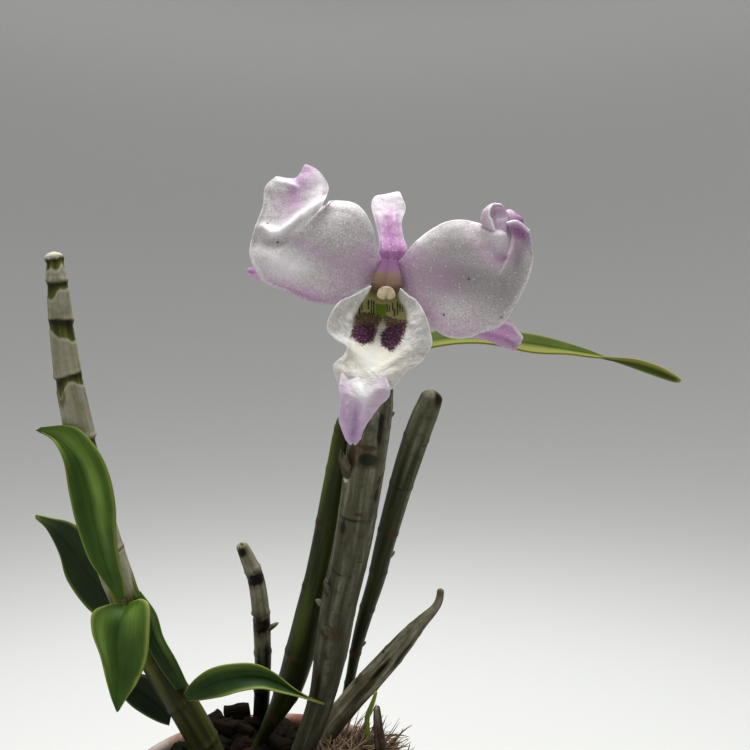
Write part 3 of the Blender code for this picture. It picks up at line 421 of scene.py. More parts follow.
def buildPot():
    outline, outside = potOutline()
    points = turned(outline, pot["segments"])
    spoke = outward(fullTurn(pot["segments"]))[None]
    wobble = pot["wobble"] * noiseAt(points, 22) + pot["lumps"] * noiseAt(points, 3.1, 5)
    rings = pot["markDepth"] * np.sin(math.tau * points[:, :, 2] / pot["throwMarks"])
    inner = (np.arange(len(outline)) >= outside)[:, None]
    edge = (points[:, :, 2] > 0.5) * (points[:, :, 2] > 4.5 * inner)
    points = points + spoke * ((wobble + rings) * edge)[:, :, None]
    # darker inside the pot, from just below the rim downwards
    insideDark = inner * ramp(points[:, :, 2], *pot["insideDarkHeights"])
    piece = addPiece("clayPot", meshOf("clayPot", [(points, {"insideDark": insideDark}, True)]), firedClay(),
                     ["pot"])
    for k in range(pot["drains"]):
        angle = math.tau * k / pot["drains"]
        bpy.ops.mesh.primitive_cylinder_add(
            vertices=pot["drainSides"], radius=pot["drainRadius"] * mm, depth=20 * mm,
            location=(pot["drainCircle"] * math.cos(angle) * mm,
                      pot["drainCircle"] * math.sin(angle) * mm, 0))
        cutter = bpy.context.object
        cut = piece.modifiers.new("drain", "BOOLEAN")
        cut.object, cut.operation = cutter, "DIFFERENCE"
        graph = bpy.context.evaluated_depsgraph_get()
        result = bpy.data.meshes.new_from_object(piece.evaluated_get(graph))
        piece.modifiers.clear()
        piece.data = result
        bpy.data.objects.remove(cutter, do_unlink=True)


buildPot()
print("pot")


# Canes: routes from the bark up, (height, radius) pairs, the heights of the node rings, buds as
# (height, compass, length, radius), flaps of torn sheath as (height of the foot, compass, length,
# half width, how far it peels off), and marks as (height, compass, half height, half width, kind).
# Cover and the shading towards the foot are (height, share) pairs: how much sheath is left, and
# how far painted shade darkens the cane low down.

canes = {
    "cane_leafy": {
        "piece": "leafyCane", "slot": "papery_cane",
        "route": [(-9.6, 1, 64.8), (-15.5, -1, 81.1), (-20.2, -3, 91.6), (-24.8, -4, 99.6),
                  (-30.5, -5, 111.3), (-36.3, -7, 125.4), (-40.6, -9, 140.5), (-43.8, -11, 155.8),
                  (-45.6, -13, 169.8), (-47.1, -15, 181.4), (-48.5, -16, 194.2), (-49.4, -17, 206.8),
                  (-50.1, -17, 213.9)],
        "girth": [(50, 3.6), (64, 4.3), (100, 4.1), (140, 4), (160, 3.8), (182, 3.3), (196, 2.9),
                  (207, 2.5), (214, 2)],
        "rings": (82, 94, 106, 118, 136, 152, 166.5, 182.2, 196.2, 206.2, 211.6),
        "closed": (82, 94, 106, 136, 152),
        "buds": [(195, 60, 1.2, 0.8), (181, 170, 1, 0.8)],
        "gap": 3.6, "cover": [(64, 0), (120, 0.1), (132, 0.95), (215, 1)],
        "lowShade": [(60, 0.8), (96, 0.65), (118, 0), (214, 0)],
        "marks": [(212.8, -90, 1.4, 3.2, "pale"), (178.2, -125, 2.4, 1.4, "window")],
        "sheath": "989480", "stain": "6b6751", "flesh": "676c20", "deep": "353a14",
        "rimPale": 0.35, "ringDark": 0.3, "streak": 0.6,
    },
    "cane_flowering": {
        "piece": "floweringCane", "slot": "papery_cane",
        "route": [(5.7, 3, 65.9), (11.3, 0, 79.2), (16.5, -3, 94.3), (19.5, -7, 109.4), (22, -11, 123.9),
                  (25.1, -15.5, 138), (27.4, -20, 151.5), (29.2, -25, 164.5), (30.7, -28, 174.8),
                  (31.9, -29.6, 182.4), (32.6, -30.4, 186.4)],
        "girth": [(50, 2.8), (66, 3), (80, 3.1), (96, 3.5), (110, 4.4), (130, 4.7), (150, 4.8),
                  (168, 4.9), (176, 4.6), (182, 3.7), (187, 2.4)],
        "rings": (79, 93, 108, 121, 134, 148, 160, 171, 180),
        "buds": [(160, -160, 2.2, 1.3), (148, -70, 1.3, 0.9), (121, 175, 2, 1.2), (171, 20, 1.6, 1.1)],
        "flaps": [(156.4, -148, 8.2, 2.3, 2.2), (126, -150, 4.4, 1.9, 0.9), (113.2, -118, 4.6, 1.6, 0.5)],
        "gap": 0.3, "cover": [(64, 0.75), (100, 0.9), (190, 1)],
        "lowShade": [(60, 0.5), (128, 0.45), (146, 0), (190, 0)],
        "marks": [(164.2, -86, 1.8, 2.9, "window"), (163.6, -138, 3.4, 1.5, "rust"),
                  (166.8, -88, 0.6, 2.6, "rust"), (167.2, -118, 1.8, 1, "scar"),
                  (145.1, -133, 2.2, 0.9, "window"), (150.1, -89, 0.5, 1.2, "rust"),
                  (144, -73, 0.4, 0.8, "rust"), (137.5, -59, 0.4, 0.9, "rust"),
                  (158, -38, 1.2, 0.8, "rust"), (155, -40, 2.2, 0.6, "slot"),
                  (116.5, -92, 2.6, 3, "scar"), (157.8, -150, 1, 1.2, "pale"),
                  (128.2, -160, 1.4, 1.6, "pale"), (126.4, -150, 0.7, 1.5, "rust"),
                  (100, -120, 5, 0.8, "window"), (171, -60, 4, 0.7, "slot")],
        "sheath": "686753", "stain": "333223", "flesh": "20280c", "deep": "0f1206",
        "rimPale": 0, "ringDark": 0.2, "streak": 0.8, "swell": 0.1,
    },
    "cane_green": {
        "piece": "greenCane", "slot": "green_cane",
        "route": [(-7.2, 11, 67.3), (-3.6, 13.6, 73.4), (0.5, 12.6, 80.9), (4.4, 10.4, 88.2),
                  (7.6, 8, 96.1), (11, 4.6, 108.1), (14, 1, 120.3), (17.3, -4, 135.3), (20.2, -9, 149.7),
                  (22.9, -14, 163.4), (24.4, -17, 172.6)],
        "girth": [(50, 1.6), (76, 1.7), (84, 2.8), (92, 4), (104, 4.4), (116, 4.2), (128, 3.7),
                  (150, 3.6), (166, 3.4), (173, 2.6)],
        "rings": (90, 104, 124, 143, 158, 169),
        "buds": [(118, 10, 1.6, 1.1)],
        "gap": 0.5, "cover": [(60, 0.5), (80, 0.35), (92, 0.1), (175, 0.12)],
        "marks": [(143, -130, 0.8, 2.4, "rust"), (104, -110, 0.6, 2.6, "rust"),
                  (154, -165, 14, 2, "bright"), (160, -140, 19, 2.6, "bright"),
                  (116, -100, 12, 2.4, "bright"), (84, -90, 1.4, 2, "rust")],
        "sheath": "403e22", "stain": "272212", "flesh": "2f370c", "deep": "1b2008",
        "rimPale": 0.1, "ringDark": 0.2, "streak": 0.4, "swell": 0.16,
    },
    "cane_rear": {
        "piece": "rearCane", "slot": "green_cane",
        "route": [(16.8, 22, 66.7), (18.6, 24, 71.8), (21, 24, 78.9), (23.5, 23, 89.2), (25.4, 21, 99.1),
                  (28.5, 18, 111.6), (31.5, 15, 122), (33.6, 12, 131.6), (37, 7, 145.6), (40, 2, 157.2),
                  (43.1, -1.6, 167.4), (45.9, -4, 175), (47, -5, 178.6)],
        "girth": [(50, 1.2), (78, 1.3), (94, 1.7), (110, 2.3), (126, 2.8), (140, 3.2), (158, 3.6),
                  (172, 3.5), (179, 2.7)],
        "rings": (88, 98, 113, 125, 137.5, 152, 165.5),
        "buds": [(129, 25, 1.7, 1.1), (100, 20, 1.2, 0.8)],
        "gap": 0.6, "cover": [(60, 0.1), (125, 0.15), (150, 0.4), (178, 0.8)],
        "marks": [(165.5, -150, 0.9, 1.2, "rust"), (138, -60, 1.6, 1.8, "rust"),
                  (137, -10, 1.4, 1.2, "scar"), (176.8, -40, 1.5, 1.2, "slot"),
                  (98, -90, 1.2, 1.2, "rust")],
        "sheath": "6c6c56", "stain": "36351f", "flesh": "33381a", "deep": "1b200c",
        "rimPale": 0.05, "ringDark": 0.2, "streak": 0.5, "swell": 0.16,
    },
    "cane_short": {
        "piece": "shortCane", "slot": "papery_cane",
        "route": [(-5, 25, 66.1), (-4.4, 25, 74.4), (-3.6, 24, 85.7), (-3.1, 23, 95.3), (-3.1, 21, 105.2),
                  (-3.6, 19, 114.9), (-4.7, 18, 122.1), (-6.8, 17, 127.8), (-8.8, 16, 132.8)],
        "girth": [(50, 2.2), (74, 2.4), (96, 2.6), (112, 2.5), (122, 2.4), (128, 2.1), (133, 1.6)],
        "rings": (86, 98, 110.6, 124.6),
        "buds": [(104.8, -10, 3.6, 0.9)],
        "gap": 1, "cover": [(60, 0.3), (100, 0.4), (108, 0.9), (133, 1)],
        "marks": [(130.2, -100, 1.2, 1.3, "slot"), (121.8, -90, 2, 3.6, "slot"),
                  (107.8, -90, 3.2, 3.6, "window"), (108.6, -120, 1.6, 1.6, "slot"),
                  (132.6, -60, 0.7, 1, "rust")],
        "sheath": "93907b", "stain": "5a563f", "flesh": "12160a", "deep": "060702",
        "rimPale": 0.35, "ringDark": 0.5,
    },
    "cane_slanting": {
        "piece": "slantingCane", "slot": "papery_cane",
        "route": [(11.2, 10, 67), (16.6, 12, 77.6), (23.9, 13, 86.8), (29.7, 12, 93.6), (35, 10, 100.2),
                  (39.7, 8, 106.5), (44.4, 6, 112.6), (48, 5, 116.6), (49.4, 5, 119.2), (49.8, 5, 122.4)],
        "girth": [(50, 2.6), (68, 2.8), (80, 3.2), (94, 3.3), (101, 3.1), (107, 2.6), (113, 1.7),
                  (117, 1.1), (122, 0.9)],
        "rings": (84, 93, 102, 110),
        "buds": [(88, 80, 2.4, 1.1)],
        "gap": 0.5, "cover": [(60, 0.8), (123, 1)],
        "marks": [(104, -50, 5, 0.7, "slot"), (98, -95, 4, 0.5, "slot"), (121.4, -90, 1.6, 1, "scar"),
                  (92, -150, 2, 1, "window")],
        "sheath": "7c7863", "stain": "3c3424", "flesh": "343614", "deep": "15120a",
        "rimPale": 0.05, "ringDark": 0.15, "swell": 0.14,
    },
    "cane_stub": {
        "piece": "caneStub", "slot": "papery_cane",
        "route": [(32.7, 1.6, 66.5), (32.6, 1, 78.7), (32, 0, 86.9), (31.7, -1, 91.8)],
        "girth": [(50, 1.3), (80, 1.4), (88, 1.1), (92, 0.7)],
        "rings": (82,), "gap": 0.4, "cover": [(60, 0.6), (92, 0.9)],
        "sheath": "4c3c30", "stain": "2c221a", "flesh": "2e2818", "deep": "14100b",
        "rimPale": 0.1, "ringDark": 0.6,
    },
    "young_shoot": {
        "piece": "youngShoot", "slot": "leaf",
        "route": [(30.3, 8, 68), (29.8, 7.6, 74), (29.1, 7.4, 80), (29, 7.2, 85), (30.5, 6.2, 89.4),
                  (31.6, 5.4, 93.2)],
        "girth": [(50, 0.9), (80, 0.9), (89, 0.8), (94, 0.5)],
        "rings": (), "gap": 0, "cover": [(60, 0), (94, 0)],
        "sheath": "8f9a52", "stain": "6f7c3a", "flesh": "7d8f3a", "deep": "55682a",
        "rimPale": 0, "ringDark": 0,
    },
}
caneMesh = {"step": 0.42, "spacing": 0.42, "sides": (20, 72), "foot": 6.5, "swell": 0.26,
            "swellReach": 0.8, "sheathThickness": 0.2, "wrinkle": 0.1, "wrinkleWidth": 0.9,
            "rimHeight": 0.12, "paleHeight": 0.15, "scarDepth": 0.18, "tip": 0.8}
caneGrain = {"width": 0.5, "band": 1.7, "stain": 4.2, "stretch": 14}
# the canes darken towards the bottom into one of these tones, as painted shade
caneTones = {"silver": "a3a293", "bright": "59651c", "lowShade": "1d1c12", "edge": "b9b6a2",
             "rust": "3f2c1c", "scar": "160f08"}
caneRing = {"closedShare": 0.15, "tilt": 0.5, "wideGap": 1.2, "rimWidth": 0.45, "lineWidth": 0.3}
caneBud = {"mesh": (12, 20), "rise": 0.7, "start": 0.45, "cover": 0.6}
caneFlap = {"mesh": (26, 14), "half": 0.16, "sunk": 0.5, "stand": 0.6, "ragged": 0.35}

# What each kind of mark does: (layer, form, strength). A spot is the whole mark, a rim runs
# round it and a glow fades out from its middle.
markKinds = {
    "window": [("gap", "spot", 1), ("rust", "rim", 0.55)],
    "slot": [("gap", "spot", 1), ("rust", "rim", 0.55), ("scar", "spot", 0.9)],
    "rust": [("rust", "spot", 0.9)],
    "scar": [("rust", "spot", 0.5)],
    "bright": [("bright", "glow", 0.4)],
    "pale": [("pale", "spot", 1)],
}


def caneSkin(name, look):
    # dry papery sheath over a living cane: the sheath is matt and silvery with long fine
    # wrinkles and brown stains, and the flesh in its gaps is smooth, green and a little waxy
    material, tree, shader = newMaterial(name + "Skin", 0.7, shine=0.15)
    mask = {key: addNode(tree, "Attribute", out="Fac", attribute_name=key)
            for key in ("sheath", "edge", "scar", "rust", "bright", "lowShade")}
    grain = addNode(tree, "Attribute", out="Vector", attribute_name="grain")
    where = addNode(tree, "TexCoord", out="Object")
    streaks = addNode(tree, "TexNoise", {"Vector": grain, "Scale": 1 / caneGrain["width"],
                                         "Detail": 4.0, "Roughness": 0.6})
    bands = addNode(tree, "TexNoise", {"Vector": grain, "Scale": 1 / caneGrain["band"], "Detail": 3.0})
    stains = addNode(tree, "TexNoise", {"Vector": where, "Scale": perMm(caneGrain["stain"]),
                                        "Detail": 4.0, "Roughness": 0.7})
    strong = look.get("streak", 1.0)
    paper = painted(tree, hexColour(look["sheath"]),
                    [((bands, 0.45, 0.33, 0.55 * strong), caneTones["silver"]),
                     ((bands, 0.44, 0.62, 0.8 * strong), look["stain"]),
                     ((stains, 0.48, 0.34, 0.4), look["flesh"]),
                     ((streaks, 0.44, 0.68, 0.5 * strong), look["stain"]),
                     ((stains, 0.50, 0.72, 0.75), look["stain"])])
    flesh = painted(tree, hexColour(look["flesh"]),
                    [((bands, 0.36, 0.62, 1.0), look["deep"]), (mask["bright"], caneTones["bright"])])
    colour = addNode(tree, "Mix", {0: mask["sheath"], 6: flesh, 7: paper}, 2, data_type="RGBA")
    # then painted shade low on the canes, pale edges, rust, and one dark layer that holds scars, node lines
    # and painted shadow under the sheath's edges
    colour = painted(tree, colour,
                     [(mask[key], caneTones[key]) for key in ("lowShade", "edge", "rust", "scar")])
    tree.links.new(addNode(tree, "MapRange", {0: mask["sheath"], 3: 0.42, 4: 0.82}),
                   shader.inputs["Roughness"])
    wear(tree, shader, colour, streaks, 0.45, 0.2)
    return material


def budPatch(look, line, heights, entry):
    # a small pointed bud that leans up and out from its node
    height, compass, length, radius = entry
    rows, sides = caneBud["mesh"]
    share = np.linspace(0, 1, rows)
    row = int(np.argmax(heights >= height))
    out = np.array([math.cos(math.radians(compass)), math.sin(math.radians(compass)), 0])
    ahead = line[row + 1] - line[row]
    lean = out + caneBud["rise"] * ahead / np.linalg.norm(ahead)
    lean /= np.linalg.norm(lean)
    girth = np.interp(height, *zip(*look["girth"]))
    start = line[row] + out * girth * caneBud["start"]
    stem = start + lean * np.linspace(0, girth * caneBud["cover"] + length, rows)[:, None]
    swell = radius * np.sqrt(np.clip(1 - share ** 2.2, 0.01, 1))
    grid = roundGrid(stem, swell, fullTurn(sides))
    shade = ramp(share, 0.2, 1.0)[:, None]
    values = {"lowShade": 0.0, "sheath": 0.7, "edge": 0.3 * shade, "scar": 0.35 * (1 - shade),
              "rust": 0.3, "bright": 0.0, "grain": grid}
    return grid, values, True


def flapPatch(look, line, heights, entry):
    # a torn strip of dry sheath that stands off the cane, its free edge upwards
    foot, compass, length, halfWidth, peel = entry
    rows, columns = caneFlap["mesh"]
    share = np.linspace(0, 1, rows)[:, None]
    front = np.linspace(-1, 1, columns)
    across = np.concatenate([front, front[-2:0:-1]])[None]
    outer = np.array([1.0] * columns + [-1.0] * (columns - 2))[None]
    tear = np.stack([across[0] * 2.2, 0 * across[0] + foot, 0 * across[0]], axis=1)
    ragged = caneFlap["ragged"] * (noiseAt(tear, 1.0)[None] - across ** 2)
    height = foot + length * share * (1 + ragged)
    girth = np.interp(height, *zip(*look["girth"]))
    turn = math.radians(compass) + across * halfWidth * (0.55 + 0.45 * share) / girth
    half = caneFlap["half"] * np.sqrt(np.clip(1 - across ** 2, 0, 1)) * (1 - share ** 6)
    off = (caneFlap["stand"] + peel * (1 - 0.5 * across ** 2)) * share ** 0.8
    reach = girth - caneFlap["sunk"] + off + outer * half
    centre = np.stack([np.interp(height, heights, line[:, k]) for k in range(3)], axis=-1)
    grid = centre + reach[:, :, None] * outward(turn)
    grid = grid + gridNormals(grid) * (0.1 * noiseAt(grid, 1.1))[:, :, None]
    tip = ramp(share, 0.8, 1.0) * np.ones(across.shape)
    values = {"lowShade": 0.0, "sheath": 1.0, "edge": 0.2 * tip + 0.8 * ramp(share, 0.2, 0.0),
              "scar": 0.15, "rust": 0.5 * ramp(share, 0.05, 0.3), "bright": 0.0,
              "grain": grid * np.array([1, 1, 1 / caneGrain["stretch"]])}
    return grid, values, True


def ringLayers(look, stops, heights, angles, compass):
    # at each ring: the gap where the sheath parts, its pale rim, the painted shadow that the sheath's
    # edge casts into the gap, the dark line and the swelling
    gap, edge, scar = (np.zeros((len(stops), len(angles))) for _ in range(3))
    swell = np.zeros(len(stops))
    for index, ring in enumerate(look["rings"]):
        s = (stops - stops[np.argmax(heights >= ring)])[:, None]
        ragged = noiseAt(compass * 0.8 + np.array([0, 0, 7.3 * index]), 1.0)
        fine = noiseAt(compass * 3.4 + np.array([0, 0, 3.1 * index]), 1.0)
        width = look["gap"] * (caneRing["closedShare"] if ring in look.get("closed", ()) else 1.0)
        width = width * np.clip(0.85 + 1.1 * ragged + 0.12 * fine, 0.1, 1.7)
        tilt = caneRing["tilt"] * np.sin(angles + 2.4 * index)
        s = s + tilt
        parted = ramp(s, -width - 0.3, -width + 0.15) * ramp(s, 0.3, -0.15)
        partly = ramp(ragged + 0.4 * fine, 0.0, 0.4)
        gap = np.maximum(gap, parted if look["gap"] > caneRing["wideGap"] else parted * partly)
        rim = np.exp(-((s + width + 0.4) / caneRing["rimWidth"]) ** 2) * (width > 0.3)
        edge = np.maximum(edge, look["rimPale"] * rim)
        # painted shadow, darkest just under the sheath's edge; it joins the scars and node lines in one
        # dark layer
        shadow = parted * ramp(-s / width, 0.85, 0.1) * ramp(width, 0.8, 1.6)
        ringLine = np.exp(-((s + 0.2) / caneRing["lineWidth"]) ** 2) * look["ringDark"] * partly
        scar = np.maximum(scar, np.maximum(0.9 * shadow, ringLine))
        swell = swell + np.exp(-((s[:, 0] - tilt[0]) / caneMesh["swellReach"]) ** 2)
    return gap, edge, scar, swell


def markLayers(look, stops, heights, angles, girth, grain):
    layers = {key: np.zeros(grain.shape[:2]) for key in ("gap", "scar", "rust", "bright", "pale")}
    for height, bearing, halfHeight, halfWidth, kind in look.get("marks", ()):
        along = (stops - stops[np.argmax(heights >= height)])[:, None] / halfHeight
        turn = (angles - math.radians(bearing) + math.pi) % math.tau - math.pi
        away = np.hypot(along, turn[None] * girth[:, None] / halfWidth)
        ragged = away + 0.25 * noiseAt(grain, 0.8, height)
        forms = {"spot": ramp(ragged, 1.15, 0.75), "glow": ramp(ragged, 1.3, 0.2),
                 "rim": np.exp(-((away - 1.15) / 0.28) ** 2)}
        for layer, form, strength in markKinds[kind]:
            layers[layer] = np.maximum(layers[layer], strength * forms[form])
    return layers


def buildCane(name, look):
    line, stops = evenLine(look["route"], caneMesh["step"], caneMesh["foot"])
    line, stops = line[1:], stops[1:]
    heights = line[:, 2]
    girth = np.interp(heights, *zip(*look["girth"]))
    sides = int(np.clip(math.tau * girth.max() / caneMesh["spacing"], *caneMesh["sides"]))
    angles = fullTurn(sides)
    compass = outward(angles)
    grain = np.broadcast_to(compass, (len(stops), sides, 3)) * girth[:, None, None]
    grain = grain + np.array([0, 0, 1]) * (stops / caneGrain["stretch"])[:, None, None]
    gap, edge, scar, swell = ringLayers(look, stops, heights, angles, compass)
    marks = markLayers(look, stops, heights, angles, girth, grain)
    gap, scar, pale = np.maximum(gap, marks["gap"]), np.maximum(scar, marks["scar"]), marks["pale"]
    cover = np.interp(heights, *zip(*look["cover"]))[:, None]
    patchy = ramp(cover + 0.45 * noiseAt(grain, 2.2, 4.0), 0.35, 0.65)
    sheath = patchy * (1 - gap)
    wrinkles = noiseAt(grain, caneMesh["wrinkleWidth"])
    radius = girth[:, None] + look.get("swell", caneMesh["swell"]) * swell[:, None]
    radius = radius + caneMesh["sheathThickness"] * (sheath - 0.6)
    radius = radius + caneMesh["wrinkle"] * wrinkles * (0.4 + 0.6 * sheath)
    radius = radius + caneMesh["rimHeight"] * edge + caneMesh["paleHeight"] * pale
    radius = radius - caneMesh["scarDepth"] * scar
    toTip, dome = stops[-1] - stops, girth[-1] * caneMesh["tip"]
    rounding = np.sqrt(np.clip(1 - (1 - toTip / dome) ** 2, 0.02, 1))
    radius = radius * np.where(toTip < dome, rounding, 1)[:, None]
    # painted shade: each cane darkens towards the bottom
    lowShade = np.interp(heights, *zip(*look.get("lowShade", [(0, 0.0)])))[:, None]
    values = {"lowShade": lowShade, "sheath": sheath, "edge": np.clip(edge * patchy + pale, 0, 1),
              "scar": np.clip(scar, 0, 1) * (1 - pale), "rust": marks["rust"],
              "bright": marks["bright"], "grain": grain}
    patches = [(roundGrid(line, radius, angles), values, True)]
    patches += [budPatch(look, line, heights, entry) for entry in look.get("buds", ())]
    patches += [flapPatch(look, line, heights, entry) for entry in look.get("flaps", ())]
    addPiece(look["piece"], meshOf(look["piece"], patches), caneSkin(look["piece"], look), [name])


for caneName, caneLook in canes.items():
    buildCane(caneName, caneLook)
print("canes")


# Bark: a lumpy bed with loose chips on it, and one chip standing on edge at the back

bark = {
    "edgeHeight": 69.5, "crown": 3.5, "roughness": 1.1, "gap": 0.65, "shoulder": 1.2,
    "bedMesh": (40, 120), "bedSunk": 0.8, "chips": 330, "spread": 35, "lengths": (4, 10),
    "widths": (2.4, 5.5), "heights": (1.6, 3.4), "lean": 0.5,
    "standing": {"place": (-12.6, 28, 74.3), "size": (8.5, 3.2, 9), "heading": 0.15,
                 "lean": 0.1},
    "pile": {"chips": 16, "x": (-20, -5), "y": (20, 27), "z": (72, 75.5),
             "size": ((5, 9), (3, 5), (2.4, 4)), "lean": 0.7},
    "uneven": (0.75, 1.15), "splitDepth": 0.32, "splitWidth": 0.9, "lumpDepth": 0.5,
    "lumpWidth": 2.6, "tones": ("0e0b05", "21170d", "070503"), "layer": 0.7, "seed": 23,
}
fibreBed = {"floor": 63.5, "bedding": 2.5, "inner": 13, "halfAngle": math.radians(58)}


def barkHeight(x, y):
    share = math.hypot(x, y) / insideRadius(bark["edgeHeight"])
    lump = (noise.noise(Vector((x, y, 3.0)) * 0.16)
            + 0.6 * noise.noise(Vector((x, y, 9.0)) * 0.4))
    return bark["edgeHeight"] + bark["crown"] * (1 - share * share) + bark["roughness"] * lump


def inFibreBed(x, y, margin=0.0):
    return (math.hypot(x, y) > fibreBed["inner"] - margin
            and abs(math.atan2(y, x)) < fibreBed["halfAngle"])


def pineBark():
    # damp composted pine bark: layered, rough and nearly black, each chip a slightly other brown
    material, tree, shader = newMaterial("pineBark", 0.9, shine=0.08)
    dark, brown, black = bark["tones"]
    tone = addNode(tree, "Attribute", out="Fac", attribute_name="tone")
    grain = addNode(tree, "Attribute", out="Vector", attribute_name="grain")
    layers = addNode(tree, "TexNoise", {"Vector": grain, "Scale": 1 / bark["layer"], "Detail": 5.0,
                                        "Roughness": 0.7})
    colour = painted(tree, hexColour(dark), [(tone, brown), ((layers, 0.52, 0.38, 1.0), black)])
    wear(tree, shader, colour, layers, 0.9, 0.5)
    return material


def chipTemplate():
    # a cube cut fine enough to be roughened
    box = bmesh.new()
    bmesh.ops.create_cube(box, size=1.0)
    bmesh.ops.subdivide_edges(box, edges=box.edges, cuts=4, use_grid_fill=True)
    places = np.array([vert.co[:] for vert in box.verts])
    faces = [[vert.index for vert in face.verts] for face in box.faces]
    box.free()
    return places, faces


def chipPoints(draw, template, place, size, heading, lean):
    # one chip: rounded a little, split along its grain, then turned and put down
    corners = np.array([[draw.uniform(*bark["uneven"]) for _ in range(3)] for _ in range(2)])
    shape = template * np.where(template > 0, corners[0], corners[1])
    shape *= 1 - 0.22 * (np.linalg.norm(template, axis=1, keepdims=True) - 0.5)
    solid = shape * np.array(size)
    seed = draw.uniform(0, 90)
    relief = (bark["splitDepth"] * noiseAt(solid * np.array([0.25, 1.0, 1.6]), bark["splitWidth"], seed)
              + bark["lumpDepth"] * noiseAt(solid, bark["lumpWidth"], seed))
    away = solid / np.maximum(np.linalg.norm(solid, axis=1, keepdims=True), 1e-6)
    solid = solid + away * relief[:, None]
    turn = (Matrix.Rotation(heading, 3, "Z") @ Matrix.Rotation(draw.uniform(-lean, lean), 3, "X")
            @ Matrix.Rotation(draw.uniform(-lean, lean), 3, "Y"))
    grain = solid * np.array([0.12, 1.0, 1.0]) + seed
    return solid @ np.array(turn).T + np.array(place), grain


def barkBed():
    # the bed under the chips, from the pot's floor up its wall and over the top
    edge = insideRadius(bark["edgeHeight"]) - bark["gap"]
    band, floor = pot["band"], pot["floor"]
    side = [(insideRadius(floor) - bark["gap"], floor + 0.35),
            (insideRadius(band - 0.5) - bark["gap"], band - 0.6),
            (insideRadius(band + 3) - bark["gap"], band + 2.8)]
    rings, sides = bark["bedMesh"]
    rows = turned(side, sides).tolist()
    for r in np.linspace(edge, 0.6, rings):
        ring = []
        for a in fullTurn(sides):
            x, y = r * math.cos(a), r * math.sin(a)
            z = barkHeight(x, y) - bark["bedSunk"] - (bark["shoulder"] if r == edge else 0)
            ring.append((x, y, fibreBed["floor"] + fibreBed["bedding"] if inFibreBed(x, y) else z))
        rows.append(ring)
    points = np.array(rows)
    points[4:, :, 2] += 0.35 * noiseAt(points[4:], 1.3)
    return meshOf("barkBed", [(points, {"tone": 0.2, "grain": points * np.array([1, 1, 0.3])}, True)])


def buildBark():
    draw = random.Random(bark["seed"])
    material = pineBark()
    addPiece("barkBed", barkBed(), material, ["bark"])
    edge = insideRadius(bark["edgeHeight"]) - bark["gap"]
    template, templateFaces = chipTemplate()
    feet = [(look["route"][0][0], look["route"][0][1], look["girth"][1][1])
            for look in canes.values()]
    places, grains, tones, faces = [], [], [], []

    def lay(place, size, heading, lean):
        points, grain = chipPoints(draw, template, place, size, heading, lean)
        faces.extend([[i + len(places) * len(template) for i in face] for face in templateFaces])
        places.append(points)
        grains.append(grain)
        tones.append(np.full(len(points), draw.random() ** 1.6))

    standing, pile = bark["standing"], bark["pile"]
    lay(standing["place"], standing["size"], standing["heading"], standing["lean"])
    for _ in range(pile["chips"]):
        place = [draw.uniform(*pile[axis]) for axis in "xyz"]
        size = [draw.uniform(*span) for span in pile["size"]]
        lay(place, size, draw.uniform(0, math.tau), pile["lean"])
    while len(places) < bark["chips"]:
        radius, angle = bark["spread"] * math.sqrt(draw.random()), draw.uniform(0, math.tau)
        x, y = radius * math.cos(angle), radius * math.sin(angle)
        size = [draw.uniform(*bark[key]) for key in ("lengths", "widths", "heights")]
        reach = max(size[:2]) / 2
        crowded = any(math.hypot(x - fx, y - fy) < reach * 0.7 + fr for fx, fy, fr in feet)
        if crowded or inFibreBed(x, y, 0.5 * reach) or radius + reach > edge + 0.6:
            continue
        place = (x, y, barkHeight(x, y) + draw.uniform(-1.0, 0.7))
        lay(place, size, draw.uniform(0, math.tau), bark["lean"])
    chips = meshFrom("barkChips", np.concatenate(places), faces,
                     {"grain": np.concatenate(grains), "tone": np.concatenate(tones)})
    addPiece("barkChips", chips, material, ["bark"])


buildBark()
print("bark")


# Fibre: a heap of stiff brown strands on the right, its tufts standing out over the rim

fibre = {
    "edgeHeight": 69.5, "heap": 9, "heapCentre": (23, 0), "strands": 620, "tuftShare": 0.3,
    "tuftLengths": (8, 15), "heapLengths": (4, 9), "radii": (0.22, 0.52), "seed": 8,
    "tones": ("755636", "a1845e", "2a1c10"), "mottle": 0.9, "sides": 5, "steps": 7,
    "moundMesh": (24, 60), "moundSunk": 0.9, "tuftBearing": (0.12, 0.34), "tuftRadii": (23, 33),
    "reach": 33.5, "tuftSlopes": (1.1, 2.6), "heapSlopes": (0.15, 1.3), "overRim": 2.2,
    "bow": 0.16, "clearance": 0.45, "halfAngle": fibreBed["halfAngle"] - 0.01,
}


def fibreHeight(x, y):
    away = math.hypot((x - fibre["heapCentre"][0]) / 11, (y - fibre["heapCentre"][1]) / 15)
    lump = noise.noise(Vector((x, y, 5.0)) * 0.45)
    return fibre["edgeHeight"] + fibre["heap"] * math.exp(-away * away) + 0.9 * lump


def coirFibre():
    # coconut fibre: dry, wiry strands from straw to dark brown, with a dull sheen
    material, tree, shader = newMaterial("coirFibre", 0.75)
    straw, pale, brown = fibre["tones"]
    tone, deep = (addNode(tree, "Attribute", out="Fac", attribute_name=key)
                  for key in ("tone", "deep"))
    where = addNode(tree, "TexCoord", out="Object")
    mottle = addNode(tree, "TexNoise", {"Vector": where, "Scale": perMm(fibre["mottle"]),
                                        "Detail": 3.0})
    colour = painted(tree, hexColour(straw), [(tone, pale), (deep, brown)])
    colour = addNode(tree, "Mix", {0: 0.35, 6: colour, 7: mottle}, 2, data_type="RGBA",
                     blend_type="MULTIPLY")
    tree.links.new(colour, shader.inputs["Base Color"])
    shader.inputs["Sheen Weight"].default_value = 0.15
    return material


def nearCane(points, margin):
    for look in canes.values():
        route = np.array([p for p in look["route"] if p[2] < 105], float)
        route = readSpline(route, np.linspace(0, 1, 24)) if len(route) > 1 else route
        girth = np.interp(route[:, 2], *zip(*look["girth"]))
        gaps = np.linalg.norm(points[:, None] - route[None], axis=2) - girth[None]
        if gaps.min() < margin:
            return True
    return False


